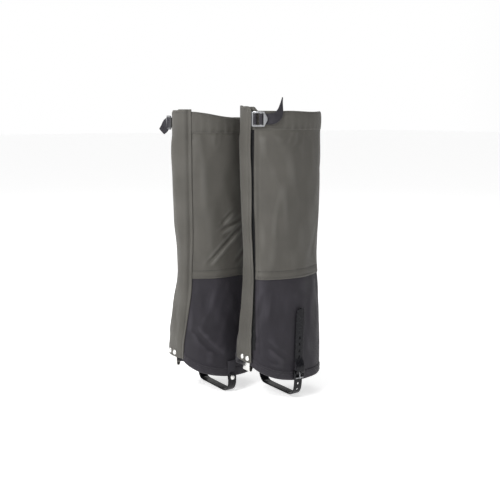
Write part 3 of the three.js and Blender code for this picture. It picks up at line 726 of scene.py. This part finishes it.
def cuff(side, start, end, cols):
    """The gathered casing, higher beside the flap, with the slot that lets the strap out."""
    cols = int(cols * CUFF_FINER)
    phi, z, out, t = profile_grid(start, end, CUFF_PROFILE, CUFF_ROWS, cols, level(CUFF_SEAM))
    deg = np.degrees(phi)
    # Flat under the flap and the buckle, gathered and puffed out elsewhere.
    full = 1 - window(deg, -44, 62, 10)
    share = np.clip((z - CUFF_SEAM) / (CUFF_TOP - CUFF_SEAM), 0, 1)
    puff = full * np.where(out > 0.6, 0.7, 0.0) * np.sin(np.pi * share)
    gather = full * 0.3 * np.sin(34 * phi + 2.0 * np.sin(3 * phi)) * smooth((out + 1.5) / 2)
    gather = gather * (0.15 + 0.6 * bell(z, CUFF_SEAM, 7))
    top = smooth((z - CUFF_SEAM - 8) / 18)
    lateral_tip = 1 - smooth((deg - 18) / 9)
    medial_tip = 0.75 * (1 - smooth((-deg - 34) / 52))
    tip = CUFF_TIP * np.where(deg > 0, lateral_tip, medial_tip)
    sag = CUFF_SAG[side] * smooth((np.abs(deg) - 30) / 90)
    z = z + top * (0.5 * np.sin(5 * phi + 1) * full + tip - sag)
    inside = (deg > SLOT_DEGREES[0]) & (deg < SLOT_DEGREES[1]) & (out > 0)
    inside = inside & (z > SLOT_HEIGHTS[0]) & (z < SLOT_HEIGHTS[1])
    keep = ~(inside[:-1, :-1] & inside[1:, 1:] & inside[:-1, 1:] & inside[1:, :-1])
    wear = np.clip(0.3 + gather + puff * 0.2, 0, 1)
    p = skin(side, phi, z, out + puff + gather)
    return p, arc_uv(phi, t), t, dict(thick=BAND_THICK, keep=keep, wear=wear)


def hem(side, start, end, cols):
    """The turned hem band; its profile runs down the outside, so the grid is turned over."""
    phi, z, out, t = profile_grid(start, end, HEM_PROFILE, HEM_ROWS, cols, hem_height)
    wear = np.clip(0.3 + 0.4 * smooth((2 - out) / 2), 0, 1) * 0.8
    p = skin(side, phi, z, out)
    return p[::-1], arc_uv(phi, t)[::-1], t, dict(thick=BAND_THICK, wear=wear[::-1])


UPPER = plain(level(BREAK_Z - 0.6), level(CUFF_SEAM + 1), upper_out, 96)
LOWER = plain(lambda phi: band_top(phi) - 1.5, level(BREAK_Z + 4), lower_out, 60)


def leg_cloth(side):
    halves(side, "upper", UPPER, OLIVE, ("upper_front", "upper_shell"))
    halves(side, "lower", LOWER, CHARCOAL, ("lower_front", "lower_shell"))
    halves(side, "cuff", cuff, OLIVE, ("cuff_front", "cuff_casing"))
    halves(side, "hem", hem, CHARCOAL, ("hem_front", "hem_band"))


# ---- Flap and tapes ----
FLAP_AXIS = ((-15.7, -66.8, 484.0), (-8.7, -77.2, 66.0))
# Directions and distances from that axis between which the cloth turns when the flap opens.
FLAP_ACROSS, FLAP_BLEND = (0.9, -0.44, 0.0), (-3.2, 1.4)
FLAP_THICK, FLAP_CUT_WIDTH = 1.5, 0.0415
FLAP_ROWS, FLAP_COLS = 190, 34
TOP_CORNER, LOW_CORNER = 7.0, 3.0
SEAM_INSET, EDGE_INSET, TOP_INSET = 4.0, 3.2, 3.5
# How far out the flap lies at its seam, and how much further over the tapes.
FLAP_BASE, FLAP_RISE, GROOVE_WIDTH = 1.45, 3.2, 0.9


def flap_seam(side, z):
    """Where the flap is sewn to the shell; the right one pulls inwards above the ankle."""
    pull = 2.4 if side == "right" else 0.0
    return front_x(PLACKET_SEAM, z) + pull * bell(z, 205, 55)


def flap_edge(side, z):
    """The flap's free edge wanders a little and draws in towards the hook."""
    phase = 0.5 if side == "left" else 2.1
    drift = 0.7 * np.sin(z / 26.0 + phase) * window(z, 110, 440, 30)
    return front_x(FLAP_EDGE, z) + drift - 2.2 * smooth((170 - z) / 80)


def flap_out(side, x, z):
    """From its seam on the shell the flap rises over the tapes and curls a little at its free edge."""
    rise = smooth((x - flap_seam(side, z) - 2) / (front_x(FOLD_LINE, z) - front_x(PLACKET_SEAM, z) - 2))
    reach = (x - front_x(FOLD_LINE, z)) / (front_x(FLAP_EDGE, z) - front_x(FOLD_LINE, z))
    wave = 0.35 * np.sin(z / 21.0 + 0.6) + 0.25 * np.sin(z / 9.5 + 2.0)
    free = window(z, 100, 440, 20)
    groove = bell(x - flap_seam(side, z), SEAM_INSET, GROOVE_WIDTH)
    groove = groove + bell(x - flap_edge(side, z), -EDGE_INSET, GROOVE_WIDTH)
    rise = rise - 0.4 * groove
    curl = (0.55 + wave * free) * smooth(reach) ** 2
    return FLAP_BASE + FLAP_RISE * rise + curl + 0.3 * free * np.sin(z / 33.0) * rise


def corner_drop(share, radius):
    """How far a rounded corner falls away, at a share of its radius."""
    return radius * (1 - np.sqrt(1 - 0.96 * np.clip(share, 0, 1) ** 2))


def flap(side):
    u, v = shares(FLAP_ROWS, FLAP_COLS)
    z = FLAP_BOTTOM + (FLAP_TOP - FLAP_BOTTOM) * v + 0 * u
    for _ in range(3):
        left = flap_seam(side, z)
        right = flap_edge(side, z)
        x = left + (right - left) * u
        high = FLAP_TOP - corner_drop((x - (right - TOP_CORNER)) / TOP_CORNER, TOP_CORNER)
        # The strip along the seam stands a little higher.
        high = high + 1.3 * smooth((left + 19 - x) / 1.5)
        low = FLAP_BOTTOM + corner_drop((x - (right - LOW_CORNER)) / LOW_CORNER, LOW_CORNER)
        z = low[:1] + (high[-1:] - low[:1]) * v
    phi = angle_at_x(x, z)
    p = skin(side, phi, z, flap_out(side, x, z))
    uv = np.stack([x, z], axis=-1)
    border = np.minimum(np.minimum(x - left, right - x) / 2.2, (high - z) / 3)
    worn = np.clip(0.3 + 0.15 * bell(border, 0, 1) + 0.1 * np.sin(z / 12), 0, 1)
    ob = slab(f"{side}_flap_cloth", side, p, FLAP_THICK, uv, wear=worn, edge=0.5)
    finish_with(ob, OLIVE_FLAP)
    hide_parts(f"{side}_storm_flap")
    bend_at_fold(ob, side)
    down = np.linspace(FLAP_BOTTOM + 3, FLAP_TOP - 5, 260)
    top = np.full(40, FLAP_TOP - TOP_INSET)
    lines = [
        (flap_seam(side, down) + SEAM_INSET, down), (flap_edge(side, down) - EDGE_INSET, down),
        (np.linspace(flap_seam(side, top[0]) + 4, flap_edge(side, top[0]) - 6, 40), top),
    ]
    paths = [seam_path(side, angle_at_x(sx, sz), sz, flap_out(side, sx, sz) + FLAP_THICK / 2)
             for sx, sz in lines]
    sewn = stitches(f"{side}_flap_stitches", side, paths)
    finish_with(sewn, OLIVE_THREAD)
    bend_at_fold(sewn, side)


def bend_at_fold(ob, side):
    """The flap turns at its seam when it opens."""
    top, bottom = np.array(FLAP_AXIS[0]), np.array(FLAP_AXIS[1])
    axis = (bottom - top) / np.linalg.norm(bottom - top)
    across = np.array(FLAP_ACROSS)
    across = across - axis * (across @ axis)
    across /= np.linalg.norm(across)
    middle = (top + bottom) / 2
    start, end = place(side, [middle + across * reach for reach in FLAP_BLEND])
    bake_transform(ob, f"{side}_shell", f"{side}_flap", tuple(start), tuple(end))


TAPE_ROWS, TAPE_COLS, TAPE_THICK = 150, 14, 0.7


def tape(side, label, shifts, top, out, body, node):
    """A tape between the front panel's edge and the flap's edge, each line moved sideways."""
    u = np.linspace(0, 1, TAPE_COLS)[None, :]
    z = np.linspace(TAPE_BOTTOM, top, TAPE_ROWS)[:, None] + 0 * u
    left = front_x(PANEL_EDGE, z, shifts[0])
    x = left + (front_x(FLAP_EDGE, z, shifts[1]) - left) * u
    p = skin(side, angle_at_x(x, z), z, out)
    ob = slab(f"{side}_{label}", side, p, TAPE_THICK, np.stack([x, z], axis=-1))
    finish_with(ob, PILE)
    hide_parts(f"{side}_{node}")
    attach(ob, f"{side}_{body}")


def tapes(side):
    tape(side, "hook_pile", (1, 2.3), CUFF_SEAM - 2, 1.2, "panel", "hook_tape")
    tape(side, "loop_pile", (1.5, -2.2), FLAP_TOP - 5, 3.3, "flap", "loop_tape")


# ---- Seams ----
# Thread lies on the cloth's outer face.
ON_CLOTH, ON_BAND = 0.42, 0.36
BACK_SEAM_DEGREES = 177.4
RING_POINTS, BACK_POINTS = 240, 160
# Rows of stitches round the leg: for each, its height and how far out it lies.
RINGS = [
    ("olive", OLIVE_THREAD, "upper_fabric", [
        (level(BREAK_STITCH), UPPER_OUT + ON_CLOTH),
        (level(BREAK_Z + 2.4), 0.6 + ON_CLOTH),
        (level(CUFF_SEAM + 1.6), 0.85 + ON_BAND),
    ]),
    ("charcoal", CHARCOAL_THREAD, "scuff_fabric", [
        (lambda phi: band_top(phi) - 1.6, 0.95 + ON_BAND),
        (lambda phi: band_top(phi) - 4.8, 1.0 + ON_BAND),
        (lambda phi: hem_height(phi) + 3.4, 0.95 + ON_BAND),
    ]),
]


def leg_stitches(side):
    """Stitches on the leg cloth and down the back seam, one object for each half and thread."""
    for half, (start, end, _) in HALVES.items():
        for label, material, slot, rows in RINGS:
            paths = []
            for height, out in rows:
                u = np.linspace(0, 1, RING_POINTS)
                z = np.full(u.shape, GUESS_Z)
                for _ in range(ROUNDS):
                    phi = start(z) + (end(z) - start(z)) * u
                    z = height(phi) * np.ones(u.shape)
                paths.append(seam_path(side, phi, z, out))
            if label == "olive":
                turn = math.radians(BACK_SEAM_DEGREES) * (1 if half == "lateral" else -1)
                z = np.linspace(BREAK_Z + 2, CUFF_TOP - 3, BACK_POINTS)
                out = upper_out(turn, z) + ON_CLOTH + 0.7 * (z > CUFF_SEAM)
                paths.append(seam_path(side, np.full(z.shape, turn), z, out))
            ob = stitches(f"{side}_{label}_stitches_{half}", side, paths)
            finish_with(ob, material)
            bind_half(ob, side, half)


# ---- Straps ----
def rounded(points, times=3):
    """Cuts the corners of a polyline, keeping its ends."""
    p = np.array(points, float)
    for _ in range(times):
        a, b = p[:-1] * 0.75 + p[1:] * 0.25, p[:-1] * 0.25 + p[1:] * 0.75
        p = np.vstack([p[:1], np.stack([a, b], axis=1).reshape(-1, p.shape[1]), p[-1:]])
    return p


class Route:
    """A smooth path measured by its own length."""

    def __init__(self, points, times=3):
        self.points = rounded(points, times)
        self.run = np.concatenate([[0], np.cumsum(np.linalg.norm(np.diff(self.points, axis=0), axis=1))])
        self.length = self.run[-1]

    def at(self, s):
        return np.stack([np.interp(s, self.run, column) for column in self.points.T], axis=-1)

    def where(self, z, after=0.0):
        """Distance along at which its last coordinate first reaches z, past a given distance."""
        s = np.linspace(after, self.length, 4000)
        return float(s[np.argmin(np.abs(self.at(s)[:, -1] - z))])


STRAP_WIDTH, STRAP_THICK, STRAP_CROWN, STRAP_STEP = 16.0, 1.8, 0.25, 1.05
HOLE_HALF = (2.7, 2.0)
LEAN_FROM, TAIL_LEAN = 66, 0.045


def strap_grid(length, holes, round_start, round_end):
    """Distances along and across a strap with oval holes, and which of its cells are solid."""
    half = STRAP_WIDTH / 2
    s = np.linspace(0, length, int(length / STRAP_STEP) + 1)
    ends = np.ones_like(s)
    for rounded_off, distance in ((round_start, s), (round_end, length - s)):
        if rounded_off:
            arc = 1 - (1 - np.minimum(distance / half, 1)) ** 2
            ends = np.minimum(ends, np.sqrt(np.clip(arc, 0.02, 1)))
    across = np.linspace(-half, half, int(STRAP_WIDTH / STRAP_STEP) + 1)
    S, Y = np.meshgrid(s, across, indexing="ij")
    Y = Y * ends[:, None]
    keep = np.ones((S.shape[0] - 1, S.shape[1] - 1), bool)
    for where, (a, b) in holes:
        cs = (S[:-1, :-1] + S[1:, 1:]) / 2
        cy = (Y[:-1, :-1] + Y[1:, 1:]) / 2
        gone = ((cs - where) / a) ** 2 + (cy / b) ** 2 < 1
        keep &= ~gone
        # Points on the hole's edge have both missing and solid cells round them.
        missing = np.pad(gone, 1).astype(int)
        missing = missing[:-1, :-1] + missing[1:, :-1] + missing[:-1, 1:] + missing[1:, 1:]
        ring = (missing > 0) & (missing < 4)
        ring[[0, -1]] = False
        ring[:, [0, -1]] = False
        r = np.sqrt(((S - where) / a) ** 2 + (Y / b) ** 2)
        scale = np.where(ring & (r > 0.2), 1 / np.maximum(r, 1e-6), 1)
        S, Y = where + (S - where) * scale, Y * scale
    return S, Y, keep


def strap(name, side, route, holes, round_start=False, round_end=False, lean=0.0):
    """A flat strap along a route of (x, z) places, its width along y; it may lean to the back."""
    S, Y, keep = strap_grid(route.length, holes, round_start, round_end)
    xz = route.at(S)
    y = STRAP_Y + Y + lean * np.maximum(xz[..., 1] - LEAN_FROM, 0)
    p = np.stack([xz[..., 0], y, xz[..., 1]], axis=-1)
    thick = STRAP_THICK - STRAP_CROWN * (Y / (STRAP_WIDTH / 2)) ** 2
    ob = slab(name, side, p, thick, np.stack([Y, S], axis=-1), keep=keep, edge=0.38)
    return finish_with(ob, STRAP)


# Routes from the medial rivet under the foot to the buckle, and from there up the leg.
UNDER = [
    (-51.8, 35), (-51.8, 27), (-51.8, 18.5), (-50, 11), (-44.8, 4), (-39, 0.9), (-20, 0.9), (20, 0.9),
    (37, 0.9), (42.5, 4), (47, 11), (48.8, 20), (49.6, 27), (49.6, 37), (51.3, 39.3), (54.9, 42.4),
    (56, 45.2), (56, 47.6),
]
TAIL = [
    (56, 47.4), (56, 51.6), (55.5, 55), (53.2, 60), (51.1, 65), (50.3, 71), (50.3, 100), (50.3, 153),
]
# Heights of the punched holes, of the tongue's hole and of the two blends; the rivet's hole is
# measured along the strap.
UNDER_HOLES, TAIL_HOLES = (11.5, 22.5), (70, 81, 92, 103)
TONGUE_HOLE_Z, TONGUE_HOLE = 42.1, (4.8, 2.7)
RIVET_HOLE = (8.0, (2.4, 2.4))
SWING_BLEND, PEEL_BLEND = (19, 29), (49.5, 54.5)


def instep(side):
    under = Route(UNDER)
    after = under.length * 0.5
    holes = [(under.where(z, after), HOLE_HALF) for z in UNDER_HOLES]
    holes += [(under.where(TONGUE_HOLE_Z, after), TONGUE_HOLE), RIVET_HOLE]
    ob = strap(f"{side}_instep_band", side, under, holes, round_start=True)
    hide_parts(f"{side}_instep_strap", f"{side}_instep_strap_end")
    start, end = place(side, [[0, STRAP_Y, z] for z in SWING_BLEND])
    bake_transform(ob, f"{side}_instep", f"{side}_shell", tuple(start), tuple(end))

    tail = Route(TAIL)
    holes = [(tail.where(z), HOLE_HALF) for z in TAIL_HOLES]
    ob = strap(f"{side}_instep_tail_band", side, tail, holes, round_end=True, lean=TAIL_LEAN)
    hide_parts(f"{side}_instep_tail")
    start, end = place(side, [[0, STRAP_Y, z] for z in PEEL_BLEND])
    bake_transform(ob, f"{side}_shell", f"{side}_tail", tuple(start), tuple(end))


# ---- Cuff webbing ----
# The strap's height on the cuff, the buckle's middle in degrees from the toe, and the widths.
CINCH_Z, CINCH_ANGLE, WEBBING = 464.5, 31.0, 16.0
WEB_THICK, ANCHOR_THICK, WEB_COLS = 1.0, 0.9, 17
CASING_FACE = 1.4
# Places in the buckle's own section are (along the cuff, out from it); this one is its anchor bar.
BAR_ONE = (-7.6, 4.3)
BUCKLE_REST = {"left": 0.0, "right": 30.0}
BUCKLE_LIFT = {"left": 0.0, "right": 3.0}


def cuff_route(degrees, outs):
    """Places round the cuff at those angles, that far out from the leg's shape."""
    phi = np.radians(np.array(degrees, float))
    return list(zip(*off_wall(phi, CINCH_Z, np.array(outs, float))))


def from_buckle(places, side, tilt=0.0):
    """Places along and out from the buckle's middle, stood off the cuff about its anchor bar."""
    p = np.array(places, float) - BAR_ONE
    t = math.radians(tilt)
    along = BAR_ONE[0] + p[:, 0] * math.cos(t) - p[:, 1] * math.sin(t)
    out = BAR_ONE[1] + p[:, 0] * math.sin(t) + p[:, 1] * math.cos(t)
    phi = math.radians(CINCH_ANGLE)
    x, y = off_wall(phi, CINCH_Z, CASING_FACE + BUCKLE_LIFT[side])
    nx, ny = wall_normal(phi, CINCH_Z)
    turn = math.atan2(nx, -ny)
    return [(x + a * math.cos(turn) + b * math.sin(turn), y + a * math.sin(turn) - b * math.cos(turn))
            for a, b in zip(along, out)]


def webbing(name, side, places, node, thick=WEB_THICK, half=None, climb=None, twist=None):
    """Webbing that stands on edge along a route of (x, y) places.

    Its half width, climb and twist in degrees may change with the share of the way along.
    """
    route = Route(places, 2)
    rows = max(8, int(route.length))
    share = np.linspace(0, 1, rows)[:, None]
    across = np.linspace(1, -1, WEB_COLS)[None, :]
    slope = np.radians(climb(share)) if climb else 0.0 * share
    length = route.length / float(np.mean(np.cos(slope[1:])))
    flat = np.concatenate([[0], np.cumsum(np.cos(slope[1:, 0]))]) * length / (rows - 1)
    lift = np.concatenate([[0], np.cumsum(np.sin(slope[1:, 0]))]) * length / (rows - 1)
    offset = across * (WEBBING / 2) * (half(share) if half else 1.0)
    lean = np.radians(twist(share)) if twist else 0.0 * share
    xy = route.at(np.minimum(flat, route.length))
    t = np.gradient(route.at(np.linspace(0, route.length, rows)), axis=0)
    t /= np.linalg.norm(t, axis=1, keepdims=True)
    out = np.stack([t[:, 1], -t[:, 0]], axis=-1)[:, None, :]
    along = -offset * np.sin(slope) * np.cos(lean)
    z = CINCH_Z + lift[:, None] + offset * np.cos(slope) * np.cos(lean)
    plan = xy[:, None, :] + t[:, None, :] * along[..., None] + out * (offset * np.sin(lean))[..., None]
    p = np.concatenate([plan, z[..., None]], axis=-1)
    uv = np.stack(np.broadcast_arrays(offset, share * length), axis=-1)
    ob = slab(name, side, p, thick, uv, edge=0.45)
    finish_with(ob, WEB)
    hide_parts(f"{side}_{node}")
    return ob


CINCH_TAILS = {
    "left": dict(places=[(13.4, 2.4), (18, 1.8), (22, 0.6), (26, -1.4), (30, -4.4), (34, -8.2)],
                 half=lambda t: 1 - 0.97 * smooth((t - 0.12) / 1.05), climb=lambda t: 80 * smooth(t / 0.7),
                 twist=lambda t: 14 * t),
    "right": dict(places=[(13.4, 2.4), (15.5, 2.9), (17.5, 4.4), (19, 6.6), (20.5, 10.4)],
                 half=lambda t: 1 - 0.2 * t ** 2,
                 climb=lambda t: 34 * smooth((t - 0.4) / 0.6) - 76 * smooth(t / 0.4),
                 twist=lambda t: -16 * t),
}
ANCHOR_EYE = [
    (-8.6, 2.35), (-6.4, 2.0), (-5.3, 3.4), (-5.5, 5.6), (-7.6, 6.55), (-9.4, 5.4), (-9.7, 3.6), (-10, 3.2),
]
FRONT_END = [(7, 0.7), (0.6, 0.7), (-0.35, 1.0), (-0.35, 1.5)]
BAR_LOOP = [(-0.35, 2.5), (-0.35, 6.0), (4.75, 6.0), (4.75, 2.4), (7.0, 2.4), (13.0, 2.4)]


def cinch(side):
    """The sewn anchor, the strap out of its casing, its turn round the bar, and the loose tail."""
    tilt = BUCKLE_REST[side]
    anchor = cuff_route([1.5, 5, 9, 13, 16.5], 2.25) + from_buckle(ANCHOR_EYE, side)
    ob = webbing(f"{side}_cinch_anchor_web", side, anchor, "cinch_anchor", ANCHOR_THICK)
    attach(ob, f"{side}_panel")
    front = cuff_route([77, 71, 65, 58, 52], -0.9) + cuff_route([49, 46.5, 43], [0.2, 1.9, 2.3])
    front += from_buckle(FRONT_END, side, tilt)
    ob = webbing(f"{side}_cinch_front_web", side, front, "cinch_strap_front")
    ends = np.array(cuff_route([46], 2) + from_buckle([(3, 0.7)], side, tilt))
    start, end = place(side, np.column_stack([ends, [CINCH_Z, CINCH_Z]]))
    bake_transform(ob, f"{side}_panel", f"{side}_cinch", tuple(start), tuple(end))
    loop = from_buckle(BAR_LOOP, side, tilt)
    ob = webbing(f"{side}_cinch_loop_web", side, loop, "cinch_strap_loop")
    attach(ob, f"{side}_cinch")
    tail = dict(CINCH_TAILS[side])
    places = from_buckle(tail.pop("places"), side, tilt)
    ob = webbing(f"{side}_cinch_tail_web", side, places, "cinch_tail", **tail)
    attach(ob, f"{side}_cinch_tail")


# ---- Hard parts ----
MERGE_REACH = 0.00001
FLAT_DEGREES, BEVEL_DEGREES, SHARP_DEGREES = 1.0, 28, 38


def refined(side, node, ending, body, material, slot, bevel, segments):
    """A piece with the CAD node's own shape, its edges rounded over."""
    name = f"{side}_{node}_{ending}"
    me = frame["nodes"][f"{side}_{node}"].data.copy()
    ob = new_object(name, me)
    for layer in list(me.attributes):
        if layer.name in ("custom_normal", "sharp_edge"):
            me.attributes.remove(layer)
    steps = [
        ("WELD", dict(merge_threshold=MERGE_REACH)),
        ("DECIMATE", dict(decimate_type="DISSOLVE", angle_limit=math.radians(FLAT_DEGREES))),
        ("BEVEL", dict(width=bevel * MM, segments=segments, limit_method="ANGLE",
                       angle_limit=math.radians(BEVEL_DEGREES), use_clamp_overlap=True,
                       miter_outer="MITER_ARC")),
        ("TRIANGULATE", dict(keep_custom_normals=False)),
    ]
    for kind, settings in steps:
        modifier = ob.modifiers.new(kind, kind)
        for key, value in settings.items():
            setattr(modifier, key, value)
    graph = bpy.context.evaluated_depsgraph_get()
    done = bpy.data.meshes.new_from_object(ob.evaluated_get(graph))
    ob.modifiers.clear()
    ob.data = done
    done.name = name
    done.shade_smooth()
    done.set_sharp_from_angle(angle=math.radians(SHARP_DEGREES))
    if material is WEB:
        while done.uv_layers:
            done.uv_layers.remove(done.uv_layers[0])
        layer = done.uv_layers.new(name="cloth")
        for loop in done.loops:
            co = done.vertices[loop.vertex_index].co
            layer.data[loop.index].uv = (co[1], co[2])
    finish_with(ob, material)
    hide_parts(f"{side}_{node}")
    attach(ob, f"{side}_{body}")


AROUND = 36


def turned(side, label, profile, foot, direction, body, node):
    """A rivet: (radius, height) points swept round a line that leaves foot in that direction."""
    d = np.array(direction, float)
    d /= np.linalg.norm(d)
    a = np.cross(d, [0, 0, 1.0])
    a /= np.linalg.norm(a)
    b = np.cross(d, a)
    rings = rounded(profile, 1)
    angles = np.linspace(0, 2 * np.pi, AROUND, endpoint=False)
    vertices, faces = [], []
    for r, h in rings:
        for t in angles:
            vertices.append(np.array(foot) + d * h + (a * math.cos(t) + b * math.sin(t)) * max(r, 0.02))
    count = len(rings)
    for i in range(count - 1):
        for k in range(AROUND):
            m = (k + 1) % AROUND
            faces.append([i * AROUND + k, i * AROUND + m, (i + 1) * AROUND + m, (i + 1) * AROUND + k])
    faces.append(list(range(AROUND))[::-1])
    faces.append([(count - 1) * AROUND + k for k in range(AROUND)])
    ob = new_mesh(f"{side}_{label}", side, np.array(vertices), faces)
    finish_with(ob, RIVET)
    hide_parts(f"{side}_{node}")
    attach(ob, f"{side}_{body}")


# CAD node, name ending, body, material, slot, bevel in millimetres and its segments.
REFINED = [
    ("cinch_buckle", "metal", "cinch", STEEL, "buckle_steel", 0.4, 3),
    ("lace_hook", "metal", "flap", NICKEL, "nickel", 0.22, 2),
    ("instep_buckle", "metal", "shell", BLACK_METAL, "black_metal", 0.45, 3),
    ("lateral_tab", "web", "shell", WEB, "webbing", 0.25, 2),
    ("medial_tab", "web", "shell", WEB, "webbing", 0.3, 2),
    ("instep_tongue", "metal", "tongue", STEEL, "buckle_steel", 0.2, 2),
    ("instep_roller", "metal", "roller", STEEL, "buckle_steel", 0.12, 2),
]
RIVET_Z, HOOK_X, RIVET_SPREAD = 73.5, 10.0, 7.2
MEDIAL_RIVET_X = -53.0
HOOK_RIVET = [
    (0, 1.35), (2.8, 1.35), (2.8, 1.85), (1.7, 1.85), (1.7, 5.3), (4.2, 5.3), (4.55, 5.6), (4.5, 6.3),
    (3.9, 7.1), (2.6, 7.8), (1.2, 8.05), (0, 8.1),
]
MEDIAL_RIVET = [
    (0, -4.7), (3.6, -4.7), (3.6, -4.0), (2.0, -4.0), (2.0, 0.0), (3.8, 0.0), (4.05, 0.2), (3.9, 0.7),
    (2.6, 1.15), (0, 1.3),
]


def hardware(side):
    for row in REFINED:
        refined(side, *row)
    for label, spread in (("inner", -RIVET_SPREAD), ("outer", RIVET_SPREAD)):
        phi = float(angle_at_x(HOOK_X + spread, RIVET_Z))
        foot = (*wall_point(phi, RIVET_Z), RIVET_Z)
        outwards = (*wall_normal(phi, RIVET_Z), 0)
        turned(side, f"rivet_{label}", HOOK_RIVET, foot, outwards, "flap", f"hook_rivet_{label}")
    foot = (MEDIAL_RIVET_X, STRAP_Y, SWING_Z)
    turned(side, "strap_rivet", MEDIAL_RIVET, foot, (-1, 0, 0), "shell", "medial_rivet")
    rear = frame["nodes"][f"{side}_cinch_strap_rear"]
    rear.data.materials.clear()
    rear.data.materials.append(HIDDEN_WEB)


for each in SIGN:
    leg_cloth(each)
    flap(each)
    tapes(each)
    leg_stitches(each)
    instep(each)
    cinch(each)
    hardware(each)


# ---- Stage ----
FLOOR_SIZE, FLOOR_DROP = 40, 0.0004
WHITE, PALE = (1, 1, 1), (0.94, 0.94, 0.94)


def floor():
    bpy.ops.mesh.primitive_plane_add(size=FLOOR_SIZE, location=(0, 0, -FLOOR_DROP))
    ob = bpy.context.object
    ob.name = "floor"
    ob.data.materials.append(Nodes("pale_floor").finish(
        Base_Color=rgba(PALE), Roughness=0.95, Emission_Color=rgba(WHITE), Emission_Strength=0.6))


# Name, azimuth and elevation in degrees, distance and size in metres, power in watts.
LIGHTS = [("key", 12, 38, 2.4, 1.0, 41), ("fill", 95, 25, 2.6, 1.6, 2), ("back", 235, 45, 2.6, 1.4, 12)]
LIGHT_AIM = Vector((0, 0, 0.25))


def area_light(name, azimuth, elevation, distance, size, power):
    data = bpy.data.lights.new(name, "AREA")
    data.shape = "DISK"
    data.size = size
    data.energy = power
    ob = new_object(name, data)
    a, e = math.radians(azimuth), math.radians(elevation)
    where = Vector((math.sin(a) * math.cos(e), -math.cos(a) * math.cos(e), math.sin(e))) * distance
    ob.location = where + LIGHT_AIM
    ob.rotation_euler = (-where).to_track_quat("-Z", "Y").to_euler()


# Where the surroundings are dim: a direction, then the cosines between which they fade, and the
# strengths that they fade between.
DIM_SIDE = math.radians(140.0)
DIMS = [
    ((0, 0, 1), (0.12, 0.45, 1.0, 0.38)),
    ((math.sin(DIM_SIDE), -math.cos(DIM_SIDE), 0), (0.15, 0.85, 1.0, 0.3)),
]


def studio_world():
    """White low down, where the backdrop meets the floor, dimmer overhead and by the left heel."""
    n = Nodes("studio", "worlds", "Background")
    bpy.context.scene.world = n.owner
    where = n.add("TexCoord").outputs["Generated"]
    fades = []
    for toward, steps in DIMS:
        reach = n.add("VectorMath", {0: where, 1: toward}, operation="DOT_PRODUCT").outputs["Value"]
        inputs = dict(enumerate((reach, *steps)))
        fades.append(n.add("MapRange", inputs, interpolation_type="SMOOTHSTEP").outputs[0])
    n.finish(Color=rgba(WHITE), Strength=n.math("MULTIPLY", *fades))


floor()
for light in LIGHTS:
    area_light(*light)
studio_world()
